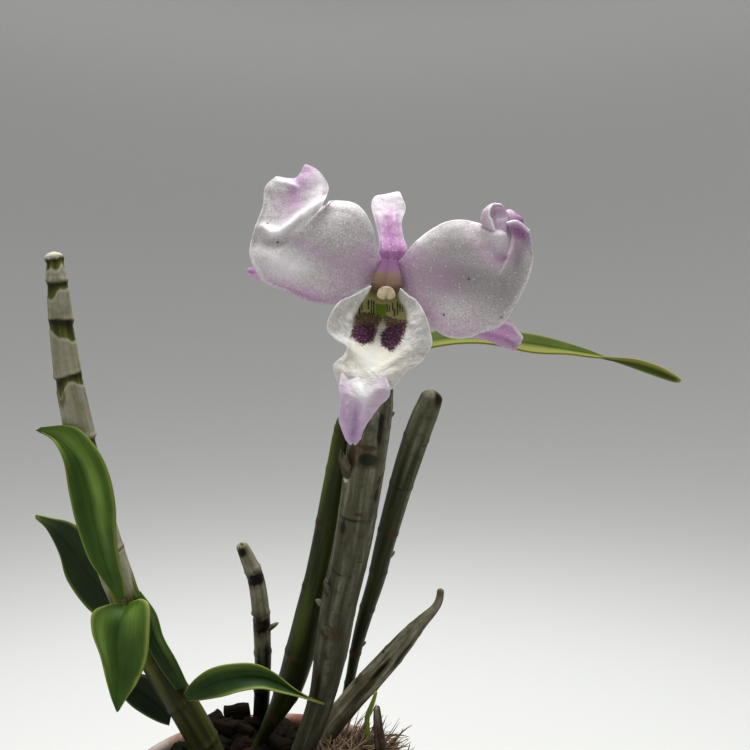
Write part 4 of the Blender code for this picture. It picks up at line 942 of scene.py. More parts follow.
def strandLine(draw, tuft):
    # one strand: from the heap outward over the rim for a tuft, any way for the rest
    half = fibre["halfAngle"]
    angle = draw.gauss(*fibre["tuftBearing"]) if tuft else draw.uniform(-half, half)
    radius = draw.uniform(*(fibre["tuftRadii"] if tuft else (fibreBed["inner"] + 1, fibre["reach"])))
    x, y = radius * math.cos(angle), radius * math.sin(angle)
    if not inFibreBed(x, y, -0.8):
        return None
    start = Vector((x, y, fibreHeight(x, y) - 1.5))
    heading = angle + draw.uniform(-0.5, 0.5) if tuft else draw.uniform(0, math.tau)
    forward = Vector((math.cos(heading), math.sin(heading), 0))
    run = max(insideRadius(pot["height"]) - radius, 3.0)
    rise = max(pot["height"] + fibre["overRim"] - start.z, 1.0)
    slope = (rise / run * draw.uniform(*fibre["tuftSlopes"]) if tuft
             else draw.uniform(*fibre["heapSlopes"]))
    length = draw.uniform(*fibre["tuftLengths" if tuft else "heapLengths"])
    ahead = (forward + Vector((0, 0, slope))).normalized()
    bow = Vector([draw.uniform(-1, 1) for _ in range(3)]) * length * fibre["bow"]
    share = np.linspace(0, 1, fibre["steps"])
    line = (np.array(start) + np.outer(share * length, ahead)
            + np.outer(np.sin(math.pi * share), bow))
    overRim = np.hypot(line[:, 0], line[:, 1]) > insideRadius(pot["height"]) - 0.5
    if nearCane(line, fibre["clearance"]) or (overRim & (line[:, 2] < pot["height"] + 0.5)).any():
        return None
    return line


def buildFibre():
    draw = random.Random(fibre["seed"])
    rings, sides = fibre["moundMesh"]
    turns = np.linspace(-fibre["halfAngle"], fibre["halfAngle"], sides)
    reach = np.linspace(fibreBed["inner"], insideRadius(fibreBed["floor"]) - 0.4, rings)
    mound = np.array([[(r * math.cos(a), r * math.sin(a),
                        fibreHeight(r * math.cos(a), r * math.sin(a)) - fibre["moundSunk"])
                       for a in turns] for r in reach])
    mound[:, :, 2] += 0.5 * noiseAt(mound, 1.1)
    # the mound under the strands is as dark as the strands' feet, in painted shade
    patches = [(mound, {"tone": 0.3, "deep": 0.85}, False)]
    angles = fullTurn(fibre["sides"])
    share = np.linspace(0, 1, fibre["steps"])
    while len(patches) <= fibre["strands"]:
        line = strandLine(draw, len(patches) - 1 < fibre["strands"] * fibre["tuftShare"])
        if line is None:
            continue
        taper = draw.uniform(*fibre["radii"]) * (1 - 0.85 * share ** 1.5)
        # each strand darkens towards its foot, painted shade among the strands, plus a random darker tone
        values = {"tone": draw.random(), "deep": 0.6 * (1 - share)[:, None] + 0.25 * draw.random()}
        patches.append((roundGrid(line, taper, angles), values, True))
    addPiece("fibreHeap", meshOf("fibreHeap", patches), coirFibre(), ["fibre"])


buildFibre()
print("fibre")


# Leaves: rows of points on one edge, the midrib and the other edge, from the base to the tip.
# Pale patches are (share along, place across, reach along, reach across, turn, strength).

leaves = {
    "leaf_upper": {
        "piece": "leafUpperBlade",
        "rows": [
            ((-36.1, -12.6, 125.2), (-35, -12.2, 124.3), (-33.5, -12.6, 125.2)),
            ((-39.4, -13.6, 130.4), (-36.6, -13.1, 129.2), (-33.5, -13.8, 129.7)),
            ((-42.4, -14.2, 135.4), (-38.4, -13.4, 134.3), (-34.2, -14.4, 133.4)),
            ((-44.8, -16, 144.4), (-40.2, -15.2, 143.3), (-34.5, -16.3, 140.4)),
            ((-46.2, -17.2, 152.8), (-41.4, -16.3, 151.9), (-34.5, -17.3, 149.5)),
            ((-47.5, -17.4, 160.7), (-43.8, -16.6, 159.7), (-35.9, -17.4, 157.3)),
            ((-49.8, -17.4, 165.5), (-46.8, -17, 164.6), (-39.2, -17.6, 164.2)),
            ((-53, -16.2, 167.7), (-50.6, -16.6, 167.1), (-45, -17.4, 169.7)),
            ((-55.6, -15, 168.4), (-55.1, -15.2, 168.7), (-54, -15.4, 169.4))],
        "green": "48681a", "dark": "22390e", "margin": 0.4,
        "pale": [(0.8, -0.8, 0.13, 0.22, 0, 0.9)],
        "glow": [(0.55, 0.4, 0.22, 0.2, 0, 0.8), (0.8, 0.2, 0.12, 0.5, 0, 0.3)],
        "shade": [(0.45, -0.45, 0.32, 0.4, 0, 0.7), (0.2, 0.5, 0.15, 0.4, 0, 0.4)],
    },
    "leaf_rear": {
        "piece": "leafRearBlade",
        "rows": [
            ((-38, -4.4, 121.6), (-38.2, -4.2, 118.6), (-37.8, -4.6, 116.5)),
            ((-40.6, -2.5, 130), (-43.6, -1, 123.2), (-45.9, -2, 117.6)),
            ((-46.4, -0.5, 137), (-50.2, 1, 130.2), (-53.5, 0, 125.6)),
            ((-53, 1, 141.6), (-55.4, 2.5, 136.2), (-56.6, 1.5, 132.9)),
            ((-59.6, 2.6, 142.7), (-60.6, 3.5, 140.6), (-60.6, 3, 139.3)),
            ((-64.2, 4, 143.3), (-64.4, 4.2, 142.9), (-64.2, 4, 142.3))],
        "green": "20350f", "dark": "101d08", "margin": 0.3,
        "pale": [(0.97, 0, 0.06, 1.2, 0, 0.5)], "glow": [(0.85, 0, 0.1, 0.8, 0, 0.3)],
        "shade": [(0.4, 0.3, 0.3, 0.5, 0, 0.5)],
    },
    "leaf_front": {
        "piece": "leafFrontBlade",
        "rows": [
            ((-34.6, -12, 123.2), (-33.6, -11.8, 122.3), (-32.5, -12, 123.2)),
            ((-37.7, -15.5, 123.7), (-33.2, -14.6, 121.9), (-28.6, -14.6, 125.2)),
            ((-39.9, -18.5, 122.9), (-33.6, -17, 119.9), (-26, -17, 124)),
            ((-39.4, -20, 118.6), (-34, -18.2, 114.7), (-25.5, -19, 116.8)),
            ((-37.2, -20.4, 112.8), (-33.5, -18.8, 109.7), (-26.1, -19.5, 111.2)),
            ((-35.8, -20.2, 106.7), (-33.5, -19, 104.5), (-28.2, -19.8, 105.8)),
            ((-34.7, -19.7, 102), (-33.4, -19.1, 101), (-30.8, -19.6, 102)),
            ((-33.7, -19, 98.5), (-33.5, -18.9, 98.2), (-33, -19, 98.5))],
        "green": "42601c", "dark": "1e320f", "margin": 0.55,
        "pale": [(0.66, -0.95, 0.06, 0.1, 0, 0.7), (0.7, 0.95, 0.05, 0.1, 0, 0.7)],
        "glow": [(0.45, -0.62, 0.2, 0.22, 0, 0.6), (0.3, 0.5, 0.12, 0.3, 0, 0.4)],
        "shade": [(0.62, 0.42, 0.22, 0.34, 0, 0.5), (0.35, -0.1, 0.2, 0.15, 0, 0.4)],
    },
    "leaf_right": {
        "piece": "leafRightBlade",
        "rows": [
            ((-19.4, -8.4, 98.5), (-18.8, -8.6, 97.5), (-18.3, -8.4, 96.4)),
            ((-16.5, -9.5, 102.4), (-15.2, -9.2, 99.6), (-14, -10, 97.3)),
            ((-12, -10.5, 105.7), (-10.7, -9.5, 101.6), (-8.7, -11.5, 98.8)),
            ((-6.3, -10.5, 107), (-4.9, -9.5, 103.2), (-3.4, -12, 100.5)),
            ((-0.3, -10, 106.8), (0.8, -9, 103), (1.7, -11.5, 100.9)),
            ((4.8, -9, 104), (6, -8.4, 101.1), (6.3, -10.5, 99.5)),
            ((9.7, -8.3, 99.8), (10.5, -8, 98.3), (11.2, -9.2, 97.8)),
            ((14.2, -7.8, 96.9), (14.5, -7.7, 96.3), (14.8, -8.2, 96.2)),
            ((17.6, -7.4, 95.5), (17.9, -7.3, 95.2), (17.6, -7.4, 95))],
        "green": "2c4a17", "dark": "17290d", "margin": 0.4,
        "pale": [(0.62, 0.98, 0.45, 0.13, 0, 0.9), (0.97, 0, 0.06, 1.2, 0, 0.6)],
        "glow": [(0.35, -0.8, 0.2, 0.2, 0, 0.4)], "shade": [(0.5, 0.1, 0.3, 0.3, 0, 0.4)],
    },
    "leaf_low": {
        "piece": "leafLowBlade",
        "rows": [
            ((-24.6, -3.7, 92.5), (-24.4, -3.1, 89.5), (-24.6, -3.6, 87.6)),
            ((-26.6, -4, 97.4), (-27.2, -3, 92.6), (-27.6, -4, 88.8)),
            ((-29.2, -5, 101.2), (-30.7, -3.7, 96), (-31.4, -5, 91.4)),
            ((-32.3, -6, 102.6), (-33.9, -5, 98.8), (-34.6, -6, 94.4)),
            ((-34.9, -7, 103.4), (-36.1, -6.5, 101.2), (-37, -7, 98.2)),
            ((-37.4, -7.5, 103.6), (-37.7, -7.5, 102.9), (-37.9, -7.5, 102))],
        "green": "1c2c14", "dark": "0e180a", "margin": 0.3,
        "shade": [(0.3, 0, 0.3, 0.6, 0, 0.4)],
    },
    "leaf_sheath": {
        "piece": "leafSheathBlade",
        "rows": [
            ((-21.7, -7.6, 99), (-20, -7, 99.2), (-19.4, -5, 99.5)),
            ((-25.6, -8.9, 105.3), (-23.6, -8.4, 106.2), (-22.1, -6, 106.3)),
            ((-29, -9.9, 112.5), (-26.7, -9.7, 113), (-25.3, -7, 112.8)),
            ((-30.8, -10.7, 118.1), (-28.6, -10.2, 118.9), (-27.3, -7.5, 119.7)),
            ((-31.9, -10.7, 123), (-31.3, -10.2, 124.4), (-31, -8.5, 125.5))],
        "green": "2c4419", "dark": "16260c", "margin": 0.3,
        "glow": [(0.6, 0.5, 0.3, 0.3, 0, 0.25)], "shade": [(0.4, -0.4, 0.3, 0.4, 0, 0.5)],
    },
    "strap_leaf": {
        "piece": "strapLeaf",
        "rows": [
            ((36, -28.4, 185), (36, -29.8, 184.3), (36, -31, 183.7)),
            ((39.9, -26.5, 190.2), (40, -29, 188.6), (40.1, -31.5, 187.4)),
            ((45.8, -24.5, 193.4), (45.8, -28, 191.1), (45.7, -32, 189.2)),
            ((55.6, -24, 193.9), (55.5, -28, 191.5), (55.5, -32, 190.2)),
            ((67, -23, 193.1), (67, -27, 190.4), (67.1, -31, 188.1)),
            ((76.3, -22, 191.1), (76.2, -25.5, 189), (76.1, -29, 187.6)),
            ((83.4, -21.5, 188.9), (83.7, -24, 187.8), (84.1, -26.5, 187)),
            ((88.7, -21.8, 186.7), (88.5, -23.5, 186.7), (88.5, -25, 186.9)),
            ((95.3, -21.5, 184.4), (95, -23, 185.4), (94.7, -24.5, 186.5)),
            ((101, -20.7, 182.5), (100.8, -22, 183.7), (100.8, -23.3, 184.9)),
            ((105.2, -20.7, 181.1), (105.2, -21.5, 182), (105.1, -22.3, 182.7)),
            ((106.9, -20.9, 181), (106.8, -21.2, 181.2), (106.9, -21.5, 181.5))],
        "green": "495a22", "dark": "2d3a14", "margin": 0.5, "shine": 0.04, "marginTone": "98964a",
        "pale": [(0.35, 1, 0.6, 0.65, 0, 0.7), (0.6, -1, 0.5, 0.12, 0, 0.3), (0.86, 1, 0.2, 0.4, 0, 0.9),
                 (0.86, -1, 0.2, 0.3, 0, 0.7), (0.99, 0, 0.05, 1.2, 0, 0.9)],
        "glow": [(0.3, 0.5, 0.3, 0.2, 0, 0.3)], "shade": [(0.75, 0, 0.15, 0.5, 0, 0.4)],
    },
}
leafSheet = {"mesh": (110, 36), "thickness": 0.42, "midrib": 0.28, "wave": 0.22, "waveSize": 9,
             "veinWidth": 0.5, "veinStretch": 14, "marginTone": "a3ad55", "glowTone": "86a04a",
             "cloud": 6, "ribWidth": 0.06, "grooveWidth": 0.1}


def sheetPatch(rows, mesh, stretch):
    # a sheet's points with its own coordinates: shares along and across, and its grain in mm
    grid = sheetGrid(rows, *mesh)
    count, columns = grid.shape[:2]
    middle = np.linalg.norm(np.diff(grid, axis=0), axis=2)[:, columns // 2]
    reach = np.concatenate([[0], np.cumsum(middle)])
    width = np.linalg.norm(np.diff(grid, axis=1), axis=2).sum(axis=1)
    along = np.linspace(0, 1, count)[:, None] * np.ones(columns)
    across = np.ones((count, 1)) * np.linspace(-1, 1, columns)
    grain = np.stack([across * width[:, None] / 2, 0 * along,
                      reach[:, None] / stretch * np.ones(columns)], axis=2)
    return grid, along, across, grain


def leafBlade(name, look):
    # living leaf: a smooth waxy skin over soft green, fine veins lengthways and a thin pale edge
    material, tree, shader = newMaterial(name, 0.52, 1.42, look.get("shine", 0.22))
    mask = {key: addNode(tree, "Attribute", out="Fac", attribute_name=key)
            for key in ("pale", "rib", "glow", "shade")}
    grain = addNode(tree, "Attribute", out="Vector", attribute_name="grain")
    where = addNode(tree, "TexCoord", out="Object")
    veins = addNode(tree, "TexNoise", {"Vector": grain, "Scale": 1 / leafSheet["veinWidth"],
                                       "Detail": 2.0})
    cloud = addNode(tree, "TexNoise", {"Vector": where, "Scale": perMm(leafSheet["cloud"]),
                                       "Detail": 4.0})
    dark = look["dark"]
    colour = painted(tree, hexColour(look["green"]),
                     [((cloud, 0.35, 0.7, 0.5), dark), (mask["glow"], leafSheet["glowTone"]),
                      (mask["shade"], dark), ((veins, 0.4, 0.65, 0.25), dark), (mask["rib"], dark),
                      (mask["pale"], look.get("marginTone", leafSheet["marginTone"]))])
    wear(tree, shader, colour, veins, 0.35, 0.12)
    letLightThrough(tree, shader, colour, 0.16)
    return material


def buildLeaf(name, look):
    grid, along, across, grain = sheetPatch(look["rows"], leafSheet["mesh"],
                                            leafSheet["veinStretch"])
    rim = ramp(np.abs(across), 0.84, 0.97) * look["margin"]
    wash = {key: washed(along, across, look.get(key, ())) for key in ("pale", "glow", "shade")}
    rib = np.exp(-(across / leafSheet["ribWidth"]) ** 2)
    normals = gridNormals(grid)
    lift = leafSheet["wave"] * noiseAt(grid, leafSheet["waveSize"], 2.0) * (0.3 + across ** 2)
    groove = np.exp(-(across / leafSheet["grooveWidth"]) ** 2) * np.sin(math.pi * along) ** 0.5
    groove = leafSheet["midrib"] * groove * np.sign(normals[:, :, 1:2].mean())
    grid = grid + normals * (lift + groove)[:, :, None]
    values = {**wash, "pale": np.maximum(rim, wash["pale"]),
              "rib": 0.5 * rib * ramp(along, 0.0, 0.2), "grain": grain}
    addPiece(look["piece"], meshOf(look["piece"], [(grid, values, False)]),
             leafBlade(look["piece"], look), [name], leafSheet["thickness"])


for leafName, leafLook in leaves.items():
    buildLeaf(leafName, leafLook)
print("leaves")


# Flower: rows of points as for the leaves, measured from the flower's centre. Washes of colour and
# swells of the surface are ovals: (x, z, reach along, reach across, turn, strength). Grey washes are
# painted shade; white washes are painted highlight, partly the petals' own white; the deep washes
# at the feet of the dorsal sepal and petals are their purple, deepened as painted shade by the column.
# Creases and glints, painted highlights drawn as white lines, follow bent lines: (points, width,
# height or strength). A ledge drops the sheet to the right of its line. Extras are rolled or folded
# pieces of the same petal, with their washes as (place across, strength).

flowerCentre = np.array((34.6, -37.6, 205.3))
cornerSheets = [
    {"rows": [
        ((22.8, -7.6, 7.8), (20.9, -7, 8.2), (20.8, -6.6, 8.2), (22.8, -6.6, 7.8), (25.2, -6.7, 7.8)),
        ((21.8, -8.8, 10.4), (19.8, -7.6, 10.4), (20.3, -6.3, 10.4), (22.8, -6.3, 10.4),
         (25.2, -6.4, 10.4)),
        ((21.2, -9, 11.4), (19.7, -7.6, 11.4), (20.2, -6, 11.4), (22.9, -6, 11.4), (25.5, -6.2, 11.4)),
        ((21.2, -9, 12.5), (19.9, -7.6, 12.5), (20.4, -5.8, 12.5), (23, -5.6, 12.5), (25.6, -5.9, 12.3)),
        ((21.5, -8.8, 13.4), (20.5, -7.4, 13.4), (20.9, -5.8, 13.5), (23.1, -5.5, 13.6),
         (25.2, -5.9, 13.2)),
        ((22, -8.2, 14.1), (21.2, -7.2, 14.1), (21.6, -5.8, 14.2), (23.2, -5.5, 14.3), (24.7, -6, 13.9)),
        ((22.8, -7.2, 14.5), (22.3, -6.9, 14.5), (22.5, -6.3, 14.6), (23.3, -6.1, 14.7), (24, -6.3, 14.5))],
     "lilac": [(-1, 0.2), (-0.6, 0.5), (-0.3, 0.4), (0.2, 0.35), (1, 0.6)],
     "deep": [(-1, 0), (0.3, 0.05), (1, 0.2)],
     "pale": [(-1, 0.5), (-0.7, 0.1), (-0.5, 0.2), (0, 0.2), (1, 0.1)]},
    {"rows": [
        ((25, -3.2, 13.4), (26.5, -3, 14), (28.3, -3, 12.8)),
        ((24.9, -4, 12.9), (26.8, -4.2, 13.3), (28.9, -3.8, 12.2)),
        ((24.8, -4.4, 12), (26.9, -4.8, 12.1), (29.2, -4.2, 11.4)),
        ((25, -4.2, 10.9), (26.9, -4.6, 10.9), (29, -3.9, 10.4)),
        ((25.3, -3.8, 10), (26.9, -4, 10), (28.5, -3.8, 9.8))],
     "lilac": [(-1, 0.6), (1, 0.9)], "deep": [(-1, 0.1), (0, 0.2), (1, 0.6)],
     "pale": [(-1, 0.2), (1, 0)]}
]
petals = {
    "petal_left": {
        "piece": "leftPetal",
        "rows": [
            ((-1.4, -1.8, 1.8), (-1.4, -2.1, 0.9), (-1.4, -1.8, 0.2)),
            ((-3, -2.9, 5.8), (-4.1, -3.9, 1.5), (-4.7, -3.4, -2.2)),
            ((-4.3, -3.9, 10.5), (-7.1, -6.1, 3.1), (-8.2, -4.9, -4.4)),
            ((-7.3, -4.9, 14.9), (-10.9, -7.9, 4.3), (-12.5, -6.4, -7)),
            ((-11.7, -5.9, 15.8), (-15.6, -9.1, 5), (-17.4, -7.9, -6.9)),
            ((-13.9, -8.4, 14.3), (-19.8, -9.9, 4.4), (-22.4, -8.9, -4.8)),
            ((-14.7, -8.4, 13), (-22.3, -10.4, 5.4), (-27.6, -8.9, -2.3)),
            ((-15.2, -8.6, 13.8), (-22.9, -8.8, 8.3), (-30.3, -7.9, 3)),
            ((-14.2, -5.6, 16), (-21.9, -6, 12.3), (-29.6, -5.9, 8.6)),
            ((-13.8, -2.9, 19.4), (-21, -4.4, 16.6), (-28.1, -4.2, 14.4)),
            ((-15.9, -2.4, 22.8), (-21.2, -3.8, 19.6), (-27.8, -2.9, 18.9)),
            ((-19, -1.4, 24.6), (-21.2, -2.6, 21.2), (-25.6, -1.4, 21.8))],
        "lilac": [(-20.4, 19.2, 5, 1.7, 80, 0.9), (-18.8, 22.6, 3.2, 2.4, 20, 0.8),
                  (-18, -5.6, 8, 1.7, -22, 0.8), (-9.5, -7.4, 3.4, 1.6, -24, 0.8),
                  (-22.5, 15, 2.6, 3.4, 60, 0.4), (-4.9, 2.6, 4.6, 3.2, -25, 0.6),
                  (-17.2, 4.4, 6, 1.5, -30, 0.35), (-8.8, -2, 6, 3.6, -30, 0.4),
                  (-17, 16.5, 3, 4, 0, 0.22)],
        "deep": [(-16, -7.2, 7, 1, -24, 0.3), (-1.6, 0.6, 2.4, 2.2, 0, 0.4),
                 (-20.8, 18.2, 2.6, 0.8, 80, 0.1)],
        "grey": [(-22.6, 15, 1.6, 3.6, 30, 0.25), (-24, 5.4, 5, 1.4, 0, 0.35), (-12, 3, 7, 3, -25, 0.3),
                 (-26.5, 18, 2, 2, 0, 0.25)],
        "white": [(-25, 8.6, 2.6, 1.4, -12, 0.6), (-22, 0.6, 5, 2.6, -20, 0.8),
                  (-16, 19, 1.8, 4.2, -12, 0.6)],
        "glints": [([(-14, 16.6), (-15.2, 14.8), (-17.8, 13), (-19.7, 11.6), (-21.7, 9.5), (-23.7, 7.9),
                     (-25.2, 7.7), (-26.6, 8.9)], 0.75, 1),
                   ([(-14, 15.4), (-16, 13.6), (-18.5, 11.6)], 0.7, 0.7),
                   ([(-24.6, 20.9), (-23, 20.5), (-21.6, 19.7), (-20.4, 19.1)], 0.45, 0.9),
                   ([(-13.6, 14.7), (-9.9, 15.4), (-6.6, 14.4), (-4.6, 12.3), (-3.4, 9.2)], 0.6, 0.8)],
        "creases": [([(-14.6, 15.2), (-17.8, 13), (-19.7, 11.6), (-21.7, 9.5), (-23.7, 7.9), (-25.6, 7.9),
                      (-27.6, 9.4)], 1, 1.5),
                    ([(-28.5, 6), (-25, 5.2), (-22, 6)], 1.6, -0.8),
                    ([(-20.4, 22.6), (-20.8, 19.6), (-21.4, 17), (-21.4, 15.6)], 1.5, -0.5),
                    ([(-25, 20.3), (-23, 19.9), (-21.6, 19.2)], 0.7, 0.35)],
        "swells": [(-20.5, -1.4, 9, 3.4, -20, 1.2), (-10, 10.5, 5, 4, 0, 0.5),
                   (-17, 18, 2.6, 4.5, -10, 0.6)],
        "roll": 1, "specks": [(-26.8, 10.3), (-24.2, 5.8)],
    },
    "petal_right": {
        "piece": "rightPetal",
        "rows": [
            ((0.2, -1.8, 1.8), (0.2, -2.1, 0.9), (0.2, -1.8, 0.2)),
            ((2.6, -2.9, 3.2), (3.2, -3.6, -0.5), (3.5, -3.1, -3.8)),
            ((5.2, -3.9, 6.5), (6.4, -5.8, -1.2), (7.4, -4.4, -9.6)),
            ((8.2, -4.9, 9), (9.8, -7.4, -1.6), (11, -5.9, -13.7)),
            ((12.1, -5.9, 10.8), (13.8, -8.6, -1.6), (15.4, -7.4, -14.8)),
            ((15.9, -6.9, 11.2), (17.7, -9.4, -1.1), (19.6, -8.1, -13.6)),
            ((19.6, -7.9, 10.3), (21.5, -9.7, 0.2), (23.9, -8.4, -11.9)),
            ((22.1, -8.6, 9), (24.8, -9.2, 1.5), (27.2, -7.9, -6.7)),
            ((24, -8.6, 8.8), (27.1, -8.2, 3), (29.7, -6.9, -2.5)),
            ((24.8, -7.6, 9.2), (28.2, -6.6, 5.8), (31.2, -5.6, 2.4)),
            ((24.9, -6.8, 9.7), (27.9, -5.8, 9.2), (30.6, -5, 6.9)),
            ((24.6, -7.4, 10.1), (27.4, -7.4, 10.6), (30.1, -6.2, 8.8)),
            ((24.8, -5.2, 10.6), (27.4, -4.6, 11.2), (30, -4.2, 9.4))],
        "lilac": [(4, 3, 3.6, 2.4, 0, 0.5), (9.6, -1.6, 6, 4.2, -20, 0.4), (8.5, -9, 5, 1.8, -44, 0.55),
                  (23.2, 2.6, 3.4, 1.5, 10, 0.7), (28, 9, 3.4, 3, 0, 1), (15, -12.8, 5, 1.8, 10, 0.4),
                  (3.6, -3, 2.4, 4, 20, 0.5), (20, 5, 3, 2, 0, 0.3)],
        "deep": [(1.8, 0.4, 2.4, 2.2, 0, 0.4), (27.9, 8.5, 2.8, 1.6, -20, 0.7),
                 (24.2, 2.5, 1.4, 0.7, 0, 0.45), (26.9, 7.4, 0.7, 1.4, 0, 0.2)],
        "grey": [(14, -1.5, 10, 4.6, -8, 0.75), (26.7, 6.2, 0.5, 3.4, 4, 0.8),
                 (27.6, 3.6, 1.8, 4.4, -10, 0.75), (24, -5, 5, 5, 0, 0.5), (14, 7, 9, 3.8, 5, 0.5)],
        "white": [(15.5, 11, 6, 0.8, 4, 0.3), (23.6, 6.6, 2.2, 2.4, 0, 0.5)],
        "glints": [([(24.2, 9.9), (25.6, 10.6), (27.2, 10.8), (28.6, 10.2), (30.2, 8.9)], 0.42, 0.95),
                   ([(25.6, 9), (26, 7.1), (25.8, 5), (25.3, 3.4)], 0.22, 0.9),
                   ([(6, 7.2), (9, 9.6), (12.3, 10.9), (15.9, 11.3), (19.4, 10.4)], 0.5, 0.8)],
        "creases": [([(9, -7.2), (7.2, -9.4)], 1, -0.5), ([(5.5, -7.5), (8.2, -11.5)], 0.9, 0.4),
                    ([(17.5, 9), (20.5, 5), (24, 3.2)], 1.6, -0.5)],
        "ledge": ([(25.5, 9.6), (26.1, 8.4), (26.2, 7.1), (26, 5), (25.4, 3.2), (25, 2.4)], 1.5),
        "swells": [(13, 5.4, 10, 3.2, 5, 0.9), (13, -3.5, 9, 3, -12, -1), (14, -10.8, 6.5, 2.4, 0, 0.8),
                   (27.5, -3, 2.5, 4, 20, -0.5)],
        "roll": 1, "specks": [(16.7, -2), (11.5, -9.6), (23.7, -10.3)],
        "extras": cornerSheets,
    },
    "dorsal_sepal": {
        "piece": "dorsalSepal",
        "rows": [
            ((-2, -0.6, 1), (0.7, -1, 1), (3.2, -0.6, 1)),
            ((-2.6, -1.1, 3.1), (0.8, -1.8, 3), (4, -1.1, 3.1)),
            ((-2.6, -1.2, 5.6), (0.7, -1.9, 5.4), (4, -1.2, 5.4)),
            ((-2.5, 0.3, 8.4), (0.3, -0.3, 8.3), (3.1, 0.3, 8.4)),
            ((-3.3, 2.2, 12.2), (-0.2, 1.7, 12.3), (2.7, 2.2, 12.2)),
            ((-4.2, 4, 15.9), (-0.6, 3.6, 16.2), (3.7, 4, 15.9)),
            ((-4, 5, 18.1), (-0.1, 4.8, 18.9), (2.9, 5, 18.7)),
            ((-3, 5.8, 19.2), (0, 5.7, 19.6), (2.4, 5.8, 19.9)),
            ((-1.4, 6.2, 19.4), (0.4, 6.2, 19.9), (1.7, 6.2, 20.2))],
        "lilac": [(0, 9, 3.4, 5.4, 0, 1), (0.6, 3.6, 5, 4.2, 0, 1), (-2.2, 13, 0.5, 2.6, 0, 0.5),
                  (0.4, 13.4, 1, 2.8, 0, 0.6), (0, 16, 4, 3, 0, 0.2)],
        "deep": [(0.7, 3.6, 4, 4.4, 0, 0.5), (0.2, 8, 1.4, 3.4, 0, 0.3)],
        "white": [(-2.8, 15.6, 1.8, 3.4, 0, 0.8), (2.6, 14, 0.8, 3.6, 0, 0.7), (0, 18.4, 4, 2, 0, 1),
                  (-0.6, 16.4, 3, 1.4, 0, 0.5), (0.9, 13.4, 0.3, 2.4, 0, 0.5)],
        "glints": [([(3.4, 9), (3, 12), (3.2, 15)], 0.5, 0.8),
                   ([(-2.2, 8), (-3.4, 11.6), (-4.2, 14.6)], 0.5, 0.8)],
        "creases": [([(0.2, 4), (-0.2, 9), (-0.8, 13)], 0.6, -0.25),
                    ([(1.9, 5), (1.6, 9), (1.2, 14)], 0.5, 0.4),
                    ([(-1.4, 5), (-2, 9), (-2.6, 14)], 0.5, 0.4)],
        "swells": [(-0.4, 13, 3, 2.5, 0, 0.5)],
    },
    "sepal_left": {
        "piece": "leftSepal",
        "rows": [
            ((-1.6, -0.6, -0.1), (-1.8, -0.8, -0.8), (-1.8, -0.6, -1.4)),
            ((-5, -0.8, 1.5), (-6.3, -1.2, -0.8), (-7.2, -0.6, -3.5)),
            ((-10.1, -1.4, 1.8), (-11.7, -2, -1.6), (-12.6, -1.4, -6.7)),
            ((-16.8, -2.4, 2.6), (-18.3, -3, -1.3), (-19, -2.4, -5.9)),
            ((-23.4, -3.1, 2.5), (-24.4, -3.6, -0.3), (-24.9, -3.1, -3.5)),
            ((-27.9, -4.1, 1.4), (-28.3, -4.4, 0.1), (-28.3, -4.1, -2.1)),
            ((-31.1, -4.6, 0.9), (-31.5, -4.9, 0.2), (-30.9, -4.6, -1.1))],
        "lilac": [(-30.5, 0.2, 3.4, 2.4, 0, 1), (-12, -5, 9, 2.2, -5, 0.7)],
        "deep": [(-30.8, 0, 1, 0.5, 0, 0.4)],
        "glints": [([(-31.6, 0.9), (-28.6, 1.6)], 0.4, 0.5)],
        "creases": [([(-32, 0.2), (-28, -0.2)], 0.5, -0.5)],
    },
    "sepal_right": {
        "piece": "rightSepal",
        "rows": [
            ((0.9, -0.6, -0.3), (1.1, -0.8, -1), (1.3, -0.6, -1.7)),
            ((5.2, -0.6, -0.1), (4.7, -1.2, -2.6), (4.3, -0.6, -5)),
            ((10.5, -1.1, -2.2), (9.1, -1.8, -7), (8.3, -1.1, -11.2)),
            ((16.7, -1.8, -5.4), (15.1, -2.4, -9.9), (13.8, -1.8, -14.1)),
            ((22.7, -2.4, -8.1), (21.2, -3, -11.5), (20.2, -2.4, -14.6)),
            ((26.5, -3.1, -10.4), (26, -3.6, -13.1), (25.4, -3.1, -16.6)),
            ((29.4, -3.4, -14.2), (28.9, -3.7, -15.5), (27.6, -3.4, -17.3))],
        "lilac": [(24, -13.6, 6, 4.5, -25, 0.8), (7, -9.5, 5, 5, -40, 0.6)],
        "deep": [(27, -15.8, 2.2, 0.8, -40, 0.4)], "grey": [(24, -13.6, 6, 4, -25, 0.3)],
        "glints": [([(24, -10), (27, -11.6), (29.2, -14.4)], 0.35, 0.7)],
        "creases": [([(19, -12), (24.5, -13.8), (27.6, -15.2)], 0.9, -0.6)],
    },
}
petalSheet = {"mesh": (170, 96), "sepalMesh": (110, 64), "extraMesh": (60, 70),
              "thickness": 0.3, "ruffle": 0.45,
              "waves": 3.5, "phase": 1.3, "dimple": 0.13, "dimpleSize": 1.9, "cell": 0.75,
              "sparkleShare": 0.35, "grit": 0.36, "veinWidth": 0.7, "veinStretch": 9,
              "speckRadius": 0.26, "edgeLift": {"left": 1.3, "right": -0.6}, "backwards": (0, 1, 0),
              # the grey tone paints shade as well as dull grains, and the gleam tone paints highlights as
              # well as white patches
              "white": "e0dbdb", "lilac": "e6aae4", "blush": "d9acd6", "deep": "98559a",
              "grey": "8f8588", "speck": "17100f", "clear": "ffffff", "gleam": "fffaff"}


def sparkles(tree, where, cell, share):
    # where single cells catch the light
    cells = addNode(tree, "TexVoronoi", {"Vector": where, "Scale": perMm(cell)}, "Color")
    chance = addNode(tree, "SeparateColor", {0: cells})
    chosen = addNode(tree, "Math", {0: chance, 1: 1 - share}, operation="GREATER_THAN")
    middle = addNode(tree, "MapRange", {0: cells.node.outputs["Distance"], 1: 0.24, 2: 0.1})
    return addNode(tree, "Math", {0: middle, 1: chosen}, operation="MULTIPLY")


